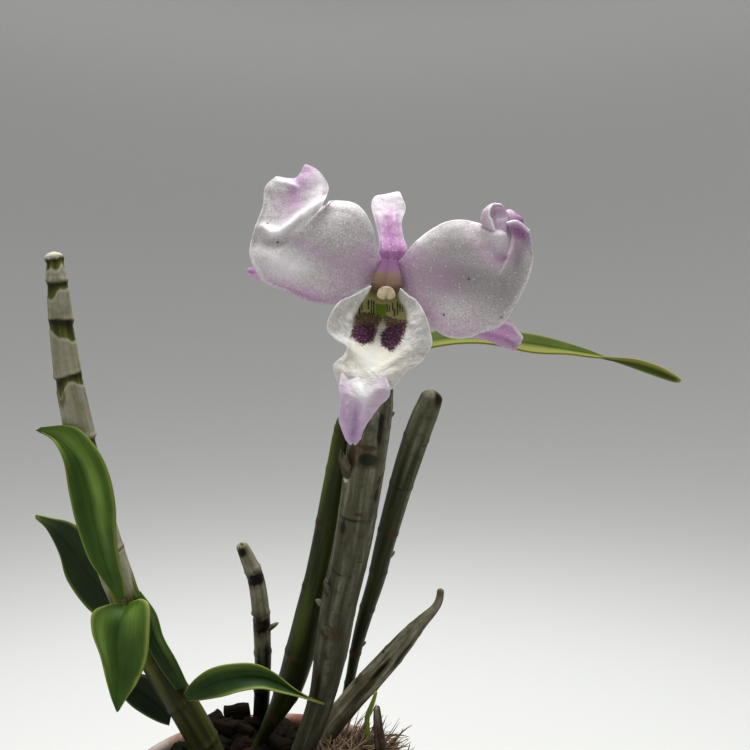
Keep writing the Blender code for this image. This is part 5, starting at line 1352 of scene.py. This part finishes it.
def petalTissue(name, look):
    # living petal: a soft half-clear skin of tiny domed cells that gives it a granular sparkle;
    # the grains are drawn about 0.4 mm wide, several times life, so that they show
    material, tree, shader = newMaterial(name, 0.5, 1.38)
    mask = {key: addNode(tree, "Attribute", out="Fac", attribute_name=key)
            for key in ("lilac", "deep", "grey", "white", "speck")}
    grain = addNode(tree, "Attribute", out="Vector", attribute_name="grain")
    where = addNode(tree, "TexCoord", out="Object")
    dust = addNode(tree, "TexNoise", {"Vector": where, "Scale": perMm(look["grit"]), "Detail": 3.0,
                                      "Roughness": 0.7})
    veins = addNode(tree, "TexNoise", {"Vector": grain, "Scale": 1 / look["veinWidth"],
                                       "Detail": 2.0})
    dusty = addNode(tree, "MapRange", {0: dust, 1: 0.3, 2: 0.7, 3: 0.55, 4: 1.4})
    veined = addNode(tree, "MapRange", {0: veins, 1: 0.35, 2: 0.65, 3: 0.75, 4: 1.25})
    grainy = addNode(tree, "Math", {0: dusty, 1: veined}, operation="MULTIPLY")
    lilac, deep = (addNode(tree, "Math", {0: mask[key], 1: grainy}, operation="MULTIPLY",
                           use_clamp=True) for key in ("lilac", "deep"))
    sparkle = sparkles(tree, where, look["cell"], look["sparkleShare"])
    # coats in order: random light and dull grains; the grey mask, painted shade and random grey; lilac;
    # deep; the white mask, painted highlight and the petals' own white; picked cells painted white as
    # painted glints; dark specks
    colour = painted(tree, hexColour(look["white"]),
                     [((dust, 0.46, 0.34, 0.6), look["clear"]), ((dust, 0.48, 0.66, 0.5), look["grey"]),
                      (mask["grey"], look["grey"]), (lilac, look["lilac"]), (deep, look["deep"]),
                      (mask["white"], look["gleam"]), (sparkle, look["clear"]),
                      (mask["speck"], look["speck"])])
    tree.links.new(addNode(tree, "MapRange", {0: sparkle, 3: 0.55, 4: 0.15}),
                   shader.inputs["Roughness"])
    shader.inputs["Sheen Weight"].default_value = 0.1
    wear(tree, shader, colour, dust, 0.85, 0.17)
    letLightThrough(tree, shader, colour, 0.3)
    return material


def lineDistance(x, z, points):
    # distance to a bent line, and the side of it each place is on (-1 is right of its direction)
    best, side = np.full(x.shape, 1e9), np.zeros(x.shape)
    for (ax, az), (bx, bz) in zip(points[:-1], points[1:]):
        ux, uz = bx - ax, bz - az
        share = np.clip(((x - ax) * ux + (z - az) * uz) / (ux * ux + uz * uz + 1e-9), 0, 1)
        away = np.hypot(x - ax - share * ux, z - az - share * uz)
        side = np.where(away < best, np.sign(ux * (z - az) - uz * (x - ax)), side)
        best = np.minimum(best, away)
    return best, side


def insideShape(x, z, outline, soft):
    # 1 inside a closed outline and 0 outside it, blurred over soft millimetres
    best = lineDistance(x, z, outline + outline[:1])[0]
    inside = np.zeros(x.shape, bool)
    for (ax, az), (bx, bz) in zip(outline, outline[1:] + outline[:1]):
        crosses = (az > z) != (bz > z)
        inside ^= crosses & (x < ax + (z - az) * (bx - ax) / (bz - az + 1e-12))
    return ramp(np.where(inside, best, -best), -soft, soft)


def alongLines(x, z, entries):
    # soft ridges along bent lines, added together
    total = np.zeros(x.shape)
    for points, width, height in entries:
        total += height * np.exp(-(lineDistance(x, z, points)[0] / width) ** 2)
    return total


def pushedBack(grid, lift):
    # moves a sheet away from the front, in mm
    return grid + lift[:, :, None] * np.array(petalSheet["backwards"])


def swollen(grid, look):
    # moves the sheet forwards by its swells and creases, and back to the right of its ledge
    x, z = grid[:, :, 0], grid[:, :, 2]
    lift = sum(ovals(x, z, look.get("swells", ())), np.zeros(x.shape))
    lift = lift + alongLines(x, z, look["creases"])
    if "ledge" in look:
        points, depth = look["ledge"]
        away, side = lineDistance(x, z, points)
        lift -= depth * ramp(-side * away, -0.12, 0.12) * np.exp(-(away / 3.5) ** 2)
    return pushedBack(grid, -lift)


def speckled(grid, specks, radius):
    near = [np.hypot(grid[:, :, 0] - x, grid[:, :, 2] - z) for x, z in specks]
    return sum((ramp(d, radius * 1.2, radius * 0.6) for d in near), np.zeros(grid.shape[:2]))


def extraPatch(extra):
    grid, along, across, grain = sheetPatch(extra["rows"], petalSheet["extraMesh"],
                                            petalSheet["veinStretch"])
    mottle = 1 + 0.5 * noiseAt(grid, 0.9)
    values = {key: np.interp(across, *zip(*extra[key])) * mottle for key in ("lilac", "deep")}
    # painted light: a white rim along the inner edge and the top, and the pale wash that lightens the
    # shaded hollow
    rim = np.clip(ramp(-across, 0.86, 0.95) + ramp(along, 0.95, 1.0), 0, 1)
    values["white"] = np.maximum(rim, np.interp(across, *zip(*extra["pale"])))
    grid = grid + gridNormals(grid) * (0.08 * noiseAt(grid, 1.1))[:, :, None] + flowerCentre
    grey = 0.3 * np.clip(0.3 + noiseAt(grid, 1.1, 5.0), 0, 1)
    return grid, {**values, "grey": grey, "speck": 0.0, "grain": grain}, False


def frilled(along, across, height, waves):
    # a wave along both edges that dies out towards the midrib, the foot and the tip
    wave = np.sin(math.tau * waves * along + petalSheet["phase"] * (across > 0))
    return height * np.abs(across) ** 3 * wave * np.sin(math.pi * along)


def buildPetal(name, look, material):
    mesh = petalSheet["mesh" if name.startswith("petal") else "sepalMesh"]
    grid, along, across, grain = sheetPatch(look["rows"], mesh, petalSheet["veinStretch"])
    x, z = grid[:, :, 0], grid[:, :, 2]
    values = {key: washed(x, z, look.get(key, ())) for key in ("lilac", "deep", "grey", "white")}
    # painted highlight: the white mask takes the glints and a brighter rim round the edges
    edge = np.maximum(ramp(np.abs(across), 0.955, 0.99), ramp(along, 0.985, 1.0))
    glint = np.clip(alongLines(x, z, look["glints"]), 0, 1)
    values["white"] = np.clip(np.maximum(values["white"], glint) + 0.3 * edge, 0, 1)
    values["speck"] = speckled(grid, look.get("specks", ()), petalSheet["speckRadius"])
    values["grain"] = grain
    lift = petalSheet["dimple"] * noiseAt(grid, petalSheet["dimpleSize"], 3.0)
    lift = lift + 0.04 * noiseAt(grid, 0.6, 9.0)
    if name.startswith("petal"):
        lift = lift + frilled(along, across, petalSheet["ruffle"], petalSheet["waves"])
    grid = swollen(grid + gridNormals(grid) * lift[:, :, None], look)
    rolled = (petalSheet["edgeLift"]["left"] * ramp(-across, 0.72, 1.0) ** 2
              + petalSheet["edgeLift"]["right"] * ramp(across, 0.8, 1.0) ** 2)
    if "roll" in look:
        grid = pushedBack(grid, look["roll"] * rolled * ramp(along, 0.1, 0.3) * ramp(along, 1.0, 0.8))
    patches = [(grid + flowerCentre, values, False)]
    patches += [extraPatch(extra) for extra in look.get("extras", ())]
    addPiece(look["piece"], meshOf(look["piece"], patches), material, [name],
             petalSheet["thickness"])


petalMaterial = petalTissue("petalTissue", {**petalSheet, "lilac": petalSheet["blush"]})
sepalMaterial = petalTissue("sepalTissue", petalSheet)
for petalName, petalLook in petals.items():
    buildPetal(petalName, petalLook, sepalMaterial if "sepal" in petalName else petalMaterial)
print("petals and sepals")


# Lip: as the petals, with five points a row, and a second sheet for its folded middle lobe. The
# opening, the blotches and the jagged line over them are outlines (x, z); stripes are
# (x, top, bottom, half width).

lip = {
    "rows": [
        ((-3.7, -7, -3.2), (-2.6, -3.6, -4.4), (-0.7, -2.6, -5), (1, -3.6, -4.4), (2.1, -7, -3.9)),
        ((-6, -7, -4.2), (-5.4, -4.2, -6.4), (-1.2, -2.2, -7.7), (2.6, -4.2, -6.6), (3.5, -7, -5)),
        ((-8.8, -8.1, -5.8), (-7.4, -6.2, -8.4), (-1.4, -2.8, -10.8), (3.7, -6, -8.8), (5.2, -7.8, -6.4)),
        ((-11.3, -9.4, -7.2), (-8.4, -8, -11.2), (-1.9, -5.4, -14.1), (3.9, -7.8, -12), (7.2, -8.9, -9.2)),
        ((-13.2, -10.2, -10.3), (-9.1, -9.8, -14.3), (-2.5, -8.4, -17.2), (3.2, -9.6, -15.4),
         (8.3, -9.4, -12.6)),
        ((-13.4, -9.9, -13.4), (-8.9, -11.4, -16.1), (-3, -10.8, -19.6), (2.5, -10.8, -17.7),
         (8.7, -9, -15.3)),
        ((-9.9, -11.4, -15.9), (-8, -12.2, -17.8), (-3.6, -12.4, -21.1), (1.9, -11.6, -19),
         (8.1, -9.2, -17.5)),
        ((-9.7, -11.8, -18.2), (-8, -12.6, -20.1), (-4.2, -13.8, -22.6), (0.8, -12, -20.7),
         (6.4, -10, -19.8)),
        ((-12.1, -12.1, -20.7), (-8.8, -13.9, -22.4), (-4.8, -14.6, -24.2), (-0.7, -13.4, -22.8),
         (3.3, -11.2, -21.8)),
        ((-11.5, -12.4, -23.4), (-8.6, -13.4, -24.4), (-5.7, -13.8, -25.6), (-2.4, -13.2, -25),
         (1, -11.8, -24.7)),
        ((-10.4, -12.2, -25.4), (-8.6, -12.8, -26), (-6.1, -13.2, -27), (-3.4, -12.8, -26.4),
         (-0.9, -12, -26.2))],
    "lobeRows": [
        ((-9.4, -11.6, -21.4), (-8, -12.6, -21.2), (-5.4, -13.2, -21.4), (-3, -12.6, -21),
         (-1.6, -12, -21)),
        ((-10.4, -13.9, -22.6), (-8.7, -13.6, -22.9), (-5.9, -14.2, -23.2), (-3.2, -13.6, -22.8),
         (-1.2, -13.4, -22.8)),
        ((-10.8, -15.4, -25.3), (-8.8, -15.8, -25.8), (-6.1, -16.4, -26), (-3, -15.5, -25.4),
         (-0.3, -14.6, -25.2)),
        ((-10.3, -15.5, -27.1), (-8.6, -16, -27.4), (-6.1, -16.8, -28), (-3.2, -15.8, -27.4),
         (-0.6, -14.4, -27.1)),
        ((-10.6, -15.2, -29), (-9, -15.8, -29.4), (-6.8, -15.4, -29.8), (-4.3, -15.7, -29.3),
         (-2.4, -14.3, -28.9)),
        ((-10.8, -14.2, -32), (-9.5, -14.8, -32.3), (-7.5, -13.9, -32.6), (-5.7, -14.7, -32.2),
         (-4.5, -13.5, -31.8)),
        ((-10, -12.7, -34.9), (-9.1, -13.1, -35.1), (-7.9, -12.5, -35.3), (-6.9, -13.1, -35.1),
         (-6.2, -12.3, -34.8)),
        ((-9.5, -11.6, -36.2), (-8.8, -11.8, -36.4), (-8, -11.5, -36.3), (-7.3, -11.8, -36.5),
         (-6.4, -11.5, -35.9)),
        ((-9.1, -11.2, -36.6), (-8.5, -11.3, -37.2), (-8.1, -11.3, -36.8), (-7.6, -11.3, -37.3),
         (-6.8, -11.2, -36.5))],
    "mesh": (230, 150), "lobeMesh": (120, 80), "thickness": 0.28,
    "opening": [(-3.9, -3), (-5.3, -5.2), (-6.3, -6.5), (-7, -7.9), (-7.8, -9.7), (-8, -11.5),
                (-8.6, -14.3), (-6.4, -16.1), (-4.1, -15.7), (-2.2, -16.1), (0.1, -17.7), (1.9, -15.7),
                (3, -13.2), (3.6, -11.2), (3.5, -9), (3.2, -7.6), (2.3, -6.5), (1.7, -4.9), (1.8, -3)],
    "depth": 1.3,
    "blotches": [
        [(-7.8, -9.6), (-6.4, -8.9), (-4.8, -8.7), (-3, -9.2), (-1.7, -9.6), (-2.8, -11.5), (-3.4, -13.5),
         (-4.1, -15.5), (-6.3, -16.1), (-8.5, -14.5), (-8, -11.5)],
        [(-1, -9.5), (0.5, -9.8), (1.9, -10.4), (3.4, -10.5), (3.7, -11.2), (3.1, -13.2), (2, -15.7),
         (0.2, -17.6), (-1.9, -16.3), (-2.1, -13.9), (-0.8, -12.2), (-1.2, -11)]],
    "jagged": [(-8.2, -9.8), (-7.4, -9.4), (-6.4, -9), (-4.8, -8.8), (-3, -9.3), (-1.7, -9.7), (-1, -9.4),
               (0.5, -9.9), (1.9, -10.5), (3.7, -10.7)],
    "stripes": [(-6.9, -7.4, -9.4, 0.16), (-6.4, -6.6, -8.4, 0.12), (-4.95, -5.9, -8, 0.16),
                (-4.3, -5.9, -9, 0.13), (-3.75, -6.1, -9.2, 0.15), (-0.65, -6.7, -8.4, 0.13),
                (-0.15, -6.9, -8.6, 0.11), (0.65, -6.4, -8.2, 0.14), (1.05, -7.8, -9.7, 0.17),
                (1.7, -6.2, -9.3, 0.16), (2.25, -6.8, -8.6, 0.11), (2.8, -7.4, -8.6, 0.1)],
    "green": [(-3.4, -6.6), (-0.9, -6.8), (-0.9, -9.6), (-3.4, -9.3)],
    "shade": [(-1.2, -3.4, 6, 1.8, 0, 1)],
    "moss": [(-1.8, -10.4, 1.1, 1.8, -10, 0.75)],
    "cream": [(-4, -18.6, 5.5, 3.6, 0, 0.9)],
    "pink": [(1.6, -22.8, 3.2, 1.8, 0, 0.6), (-10.8, -23.2, 2.4, 2.2, 0, 0.5)],
    "clouds": [(6, -12, 2.2, 5, 10, 0.2), (-11, -10, 2, 3.4, 20, 0.3)],
    "white": [(-4.6, -19.2, 2.2, 1.8, 0, 0.9)],
    "glints": [([(-3.8, -3.3), (-5.5, -5), (-6.7, -6.6), (-7.6, -8.4)], 0.4, 0.8),
               ([(2, -4.4), (2.5, -6), (3.6, -7.6), (4, -9.6)], 0.4, 0.7),
               ([(-13, -13.6), (-10.4, -15.4), (-9.4, -17), (-9.9, -18.6)], 0.4, 0.8)],
    "creases": [([(-4, -3.4), (-5.7, -5), (-7, -6.6), (-7.9, -8.4), (-8.6, -10.6)], 0.7, 0.7),
                ([(2.1, -4.4), (2.8, -6), (3.8, -7.6), (4.3, -9.6), (4.4, -11.6)], 0.7, 0.7),
                ([(-2, -10), (-2.8, -13), (-3.5, -16)], 0.6, -0.5),
                ([(-9.4, -15.4), (-9, -17.4), (-9.6, -19.2)], 0.5, 0.5)],
    "swells": [(-5.6, -13.2, 2.8, 2.4, 30, 0.6), (0.9, -14.4, 2.7, 2.6, 60, 0.6),
               (-4, -17.6, 5, 3.2, 0, 0.6), (6.2, -13.5, 1.6, 4.5, 12, 0.6)],
    "lobeGlints": [([(-8.4, -23.4), (-6.8, -25), (-5.9, -26.8)], 1.1, 0.9),
                   ([(-8.6, -21.8), (-4, -22)], 1, 0.5), ([(-9.1, -29.8), (-9.2, -31.2)], 0.35, 0.35),
                   ([(-4.2, -26.2), (-5.4, -28.6), (-6.2, -31.4)], 0.6, 0.35)],
    "lobeCreases": [([(-8.6, -22.2), (-9, -24.4), (-8.2, -26)], 0.6, -0.35),
                    ([(-7.2, -23.4), (-6, -27)], 0.7, 0.4),
                    ([(-3.6, -21.8), (-2.2, -23.6), (-2, -25.4)], 0.5, 0.5),
                    ([(-6.9, -28.5), (-7.4, -31), (-7.8, -34.5)], 0.6, -0.4),
                    ([(-9.1, -28.6), (-9.4, -32)], 0.4, 0.35),
                    ([(-5.2, -27.6), (-5.6, -30.4)], 0.4, 0.3)],
    "lobeDeep": [(-7.6, -32.6, 1.2, 3.6, -6, 0.45), (-7.9, -35.8, 1.3, 1.4, 0, 0.45),
                 (-9.4, -31.5, 0.5, 2.8, 0, 0.2), (-4.6, -26.6, 2.6, 0.8, 30, 0.15)],
    "frill": 0.4, "frillWaves": 5, "crinkle": 0.2, "crinkleSize": 1.3, "fuzz": 0.42,
    "veil": 1.2, "fold": 0.7, "foldStretch": (0.35, 1, 9), "cell": 0.6, "sparkleShare": 0.3,
    "blotchSoft": 1.3, "oliveFrom": (-13.4, -9.6), "lineWidth": 0.16, "lobeMiddle": -5.8,
    "tones": {"white": "f4f1ed", "throat": "c6c384", "green": "839a26", "shade": "5a4633",
              "olive": "96805c", "purple": "5a2147", "moss": "c4bd8c", "cream": "fffbe8",
              "lilac": "dfbfe2", "deep": "9c6eaa", "clouds": "a8a39f", "pink": "f2e4e1",
              "dark": "1f0f1a", "clear": "ffffff"},
    "hairTones": {"purple": ("1f071b", "b48ab0"), "olive": ("4a3426", "a08a66")},
}


lipLayers = ("throat", "green", "shade", "olive", "purple", "moss", "cream", "lilac", "deep",
             "clouds", "pink", "white", "dark")


def lipTissue():
    # the lip: a white, crinkled, half-clear skin with crystal grain; its blotches are a short
    # dense fuzz of purple and olive hairs
    tones = lip["tones"]
    material, tree, shader = newMaterial("lipTissue", 0.55, 1.38)
    mask = {key: addNode(tree, "Attribute", out="Fac", attribute_name=key) for key in lipLayers}
    grain = addNode(tree, "Attribute", out="Vector", attribute_name="grain")
    where = addNode(tree, "TexCoord", out="Object")
    fuzz, hairs = (addNode(tree, "TexNoise", {"Vector": where, "Scale": perMm(lip["fuzz"]),
                                              "Detail": detail, "Roughness": 0.7})
                   for detail in (2.0, 3.0))
    veil = addNode(tree, "TexNoise", {"Vector": where, "Scale": perMm(lip["veil"]), "Detail": 6.0,
                                      "Roughness": 0.8})
    stretched = addNode(tree, "Mapping", {"Vector": grain, "Scale": lip["foldStretch"]})
    folds = addNode(tree, "TexNoise", {"Vector": stretched, "Scale": 1 / lip["fold"], "Detail": 4.0,
                                       "Roughness": 0.7, "Distortion": 0.6})
    sparkle = sparkles(tree, where, lip["cell"], lip["sparkleShare"])
    # picked cells are painted white as painted glints, and the white mask is painted highlight
    colour = painted(tree, hexColour(tones["white"]),
                     [((veil, 0.48, 0.64, 0.35), tones["clouds"]),
                      ((folds, 0.5, 0.38, 0.45), tones["clouds"])]
                     + [(mask[key], tones[key]) for key in ("clouds", "pink", "lilac", "deep",
                                                            "cream")]
                     + [(sparkle, tones["clear"]), (mask["white"], tones["clear"])]
                     + [(mask[key], tones[key]) for key in ("throat", "green", "moss")])
    for key in ("olive", "purple"):
        deepHair, paleHair = lip["hairTones"][key]
        coat = painted(tree, hexColour(tones[key]),
                       [((hairs, 0.47, 0.58, 0.9), deepHair), ((hairs, 0.43, 0.32, 0.8), paleHair)])
        cover = addNode(tree, "Math", {0: mask[key], 1: 1.6}, operation="MULTIPLY")
        frayed = addNode(tree, "Math", {0: fuzz, 1: 1.6, 2: cover}, operation="MULTIPLY_ADD")
        frayed = addNode(tree, "MapRange", {0: frayed, 1: 1.25, 2: 1.85})
        colour = addNode(tree, "Mix", {0: frayed, 6: colour, 7: coat}, 2, data_type="RGBA")
    colour = painted(tree, colour, [(mask["shade"], tones["shade"]), (mask["dark"], tones["dark"])])
    coarse = addNode(tree, "Bump", {"Height": folds, "Strength": 0.6, "Distance": 0.6 * mm})
    wear(tree, shader, colour, fuzz, 0.7, 0.18, coarse)
    letLightThrough(tree, shader, colour, 0.3)
    return material


def lipMarks(x, z):
    # how much of each colour lies at every point of the lip, and where its opening is
    place = np.stack([x, 0 * x, z], axis=-1)
    ragX = x + 0.10 * noiseAt(place, 0.45, 1.0) + 0.06 * noiseAt(place, 0.2, 2.0)
    ragZ = z + 0.22 * noiseAt(place, 0.45, 5.0) + 0.12 * noiseAt(place, 0.2, 6.0)
    marks = {key: washed(x, z, lip[key])
             for key in ("shade", "moss", "cream", "pink", "clouds", "white")}
    opening = insideShape(x, z, lip["opening"], 0.12)
    line = np.interp(x, *zip(*lip["jagged"])) + 0.18 * noiseAt(place, 0.3, 4.0)
    above = ramp(z - line, -0.12, 0.12)
    marks["throat"] = opening * above
    marks["green"] = insideShape(ragX, z, lip["green"], 0.15) * above
    marks["shade"] = marks["shade"] * opening
    marks["moss"] = marks["moss"] * opening * (1 - above)
    blotch = sum(insideShape(ragX, ragZ, outline, lip["blotchSoft"]) for outline in lip["blotches"])
    lower = np.interp(z + 0.3 * noiseAt(place, 0.8, 8.0), lip["oliveFrom"], [1.0, 0.0])
    marks["olive"] = np.clip(blotch, 0, 1) * (1 - above)
    marks["purple"] = marks["olive"] * lower
    stripes = np.zeros(x.shape)
    for at, top, bottom, half in lip["stripes"]:
        ends = ramp(ragZ, bottom - 0.1, bottom + 0.1) * ramp(ragZ, top + 0.1, top - 0.1)
        stripes = np.maximum(stripes, ends * ramp(np.abs(ragX - at), half * 1.5, half * 0.6))
    border = np.exp(-((z - line) / lip["lineWidth"]) ** 2)
    border = border * ramp(noiseAt(place, 0.5, 12.0), -0.5, 0.0)
    marks["dark"] = np.clip(stripes * marks["throat"] + 0.9 * border * opening, 0, 1)
    # the white washes and the glints along the rims are painted highlight, kept off the opening
    glint = np.clip(alongLines(x, z, lip["glints"]), 0, 1)
    marks["white"] = np.maximum(marks["white"], glint) * (1 - opening)
    return marks, opening


def lipBowl():
    # the wide part of the lip, frilled at its edges and sunk at its opening
    grid, along, across, grain = sheetPatch(lip["rows"], lip["mesh"], petalSheet["veinStretch"])
    marks, opening = lipMarks(grid[:, :, 0], grid[:, :, 2])
    # painted highlight: a white rim along both edges
    marks["white"] = np.maximum(marks["white"], 0.9 * ramp(np.abs(across), 0.955, 0.99))
    marks.update({"grain": grain, "lilac": 0.0, "deep": 0.0})
    crinkle = lip["crinkle"] * noiseAt(grid, lip["crinkleSize"]) + 0.05 * noiseAt(grid, 0.5, 3.0)
    lift = (frilled(along, across, lip["frill"], lip["frillWaves"])
            + crinkle * ramp(np.abs(across), 0.1, 0.7))
    back = lip["depth"] * opening * ramp(grid[:, :, 2], -14.5, -9.5)
    grid = swollen(grid + gridNormals(grid) * lift[:, :, None], lip)
    return pushedBack(grid, back) + flowerCentre, marks, False


def lipLobe():
    # the folded middle lobe that hangs from it, lilac towards its tip
    grid, along, across, grain = sheetPatch(lip["lobeRows"], lip["lobeMesh"],
                                            petalSheet["veinStretch"])
    x, z = grid[:, :, 0], grid[:, :, 2]
    # painted highlight: the glints and a white rim; the cream over the lobe's top is partly painted light,
    # where the disc above shades it
    glint = np.clip(alongLines(x, z, lip["lobeGlints"]), 0, 1)
    rim = np.maximum(ramp(np.abs(across), 0.93, 0.99), ramp(along, 0.97, 1.0))
    side = ramp(np.abs(x - lip["lobeMiddle"]), 0.6, 4.2)
    lilac = 0.45 * side * ramp(z, -20.6, -24.5) + ramp(z, -24.5, -30.5) * (0.85 - 0.4 * side)
    marks = dict.fromkeys(lipLayers, 0.0)
    marks.update({"lilac": np.clip(lilac + 0.2 * noiseAt(grid, 1.6, 7.0), 0, 1),
                  "deep": washed(x, z, lip["lobeDeep"]),
                  "cream": ramp(z, -24.0, -22.0) * 0.9 * (1 - side),
                  "white": np.clip(np.maximum(glint, 0.6 * rim), 0, 1), "grain": grain})
    crumple = 0.22 * noiseAt(grid, 1.7, 5.0) + 0.07 * noiseAt(grid, 0.6, 5.0)
    grid = swollen(grid + gridNormals(grid) * crumple[:, :, None],
                   {"creases": lip["lobeCreases"]})
    return grid + flowerCentre, marks, False


def buildLip():
    addPiece("lipSheet", meshOf("lipSheet", [lipBowl(), lipLobe()]), lipTissue(), ["lip"],
             lip["thickness"])


buildLip()
print("lip")


# Column, anther cap and stalk

column = {
    "route": [(-0.2, -2.8, 2.4), (-0.4, -4.2, 0), (-0.7, -5.4, -2.2), (-0.9, -6.2, -4.4)],
    "radii": [(0, 2.1), (0.3, 2.4), (0.6, 2.8), (0.85, 3.1), (0.96, 3), (1, 2)],
    "wing": 0.5, "flat": 0.36, "step": 0.12, "sides": 72, "tones": ("744a74", "6e5a48"),
}
anther = {"centre": (-1, -8.3, -5), "radii": (2.05, 1.3, 1.5), "cleft": 0.45, "mesh": (40, 64),
          "tones": ("d2c2a2", "86705a")}
stalk = {
    "route": [(33.1, -31.2, 187.1), (33.6, -29.6, 190.5), (34.4, -28.6, 195.5), (34.9, -30.6, 200.6),
              (34.8, -34, 204.1), (34.6, -37.1, 205.2)],
    "radii": [(0, 0.9), (0.7, 0.9), (0.82, 1.26), (0.94, 2.1), (1, 2.1)],
    "tones": ("9aa05c", "b98fae"), "ridges": 6, "ridge": 0.06, "step": 0.25, "sides": 36,
}


def waxySkin(name, tones, size, roughness):
    # smooth waxy plant skin that shades from one tone into another in soft clouds
    material, tree, shader = newMaterial(name, roughness, 1.42, 0.2)
    tint = addNode(tree, "Attribute", out="Fac", attribute_name="tint")
    where = addNode(tree, "TexCoord", out="Object")
    clouds = addNode(tree, "TexNoise", {"Vector": where, "Scale": perMm(size), "Detail": 4.0,
                                        "Roughness": 0.6})
    pits = addNode(tree, "TexNoise", {"Vector": where, "Scale": perMm(0.3), "Detail": 2.0})
    share = addNode(tree, "MapRange", {0: clouds, 1: 0.35, 2: 0.65, 3: -0.2, 4: 0.2})
    mixed = addNode(tree, "Math", {0: share, 1: tint}, operation="ADD", use_clamp=True)
    wear(tree, shader, painted(tree, hexColour(tones[0]), [(mixed, tones[1])]), pits, 0.25, 0.1)
    return material


def buildColumn():
    line, stops = evenLine(np.array(column["route"]) + flowerCentre, column["step"])
    share = stops / stops[-1]
    angles = fullTurn(column["sides"])
    radius = np.interp(share, *zip(*column["radii"]))
    wings = column["wing"] * np.exp(-((np.abs(np.cos(angles)) - 1) / 0.25) ** 2)
    winged = ramp(share, 0.1, 0.6) * ramp(share, 1.0, 0.85)
    shaped = radius[:, None] + wings[None] * winged[:, None]
    shaped = shaped * (1 - (1 - column["flat"]) * np.sin(angles) ** 2)[None]
    tint = ramp(share, 0.22, 0.6)[:, None]
    patch = (roundGrid(line, shaped, angles), {"tint": tint}, True)
    addPiece("columnBody", meshOf("columnBody", [patch]),
             waxySkin("columnWax", column["tones"], 1.6, 0.8), ["column"])


def buildAnther():
    # a cap of two lobes with a cleft between them
    rings, sides = anther["mesh"]
    heights = np.linspace(-0.999, 0.999, rings)
    ring = (1 - np.abs(heights) ** 2.6) ** 0.5
    ball = turned(zip(ring, heights), sides)
    x, z = ball[:, :, 0], ball[:, :, 2]
    cleft = anther["cleft"] * np.exp(-(x / 0.2) ** 2) * ramp(-z, -0.3, 0.8)
    ball[:, :, 0] *= 0.86 + 0.18 * ramp(-z, -0.6, 0.8)
    lobes = ball * (1 - 0.45 * cleft)[:, :, None] * np.array(anther["radii"])
    lobes = lobes + 0.05 * noiseAt(lobes, 0.7)[:, :, None]
    # painted shade: brown in the cleft between the lobes and over the top, where the column shades it
    tint = np.clip(cleft * 1.4 + ramp(z, 0.0, 0.9), 0, 1)
    patch = (lobes + np.array(anther["centre"]) + flowerCentre, {"tint": tint}, True)
    addPiece("antherCap", meshOf("antherCap", [patch]),
             waxySkin("antherWax", anther["tones"], 0.8, 0.45), ["anther_cap"])


def buildStalk():
    line, stops = evenLine(stalk["route"], stalk["step"])
    share = stops / stops[-1]
    angles = fullTurn(stalk["sides"])
    radius = np.interp(share, *zip(*stalk["radii"]))
    ribs = stalk["ridge"] * np.cos(stalk["ridges"] * angles)
    patch = (roundGrid(line, radius[:, None] + ribs[None], angles),
             {"tint": ramp(share, 0.55, 0.95)[:, None]}, True)
    addPiece("flowerStalk", meshOf("flowerStalk", [patch]),
             waxySkin("stalkSkin", stalk["tones"], 3.0, 0.45), ["pedicel"])


buildColumn()
buildAnther()
buildStalk()
print("column, anther cap and stalk")
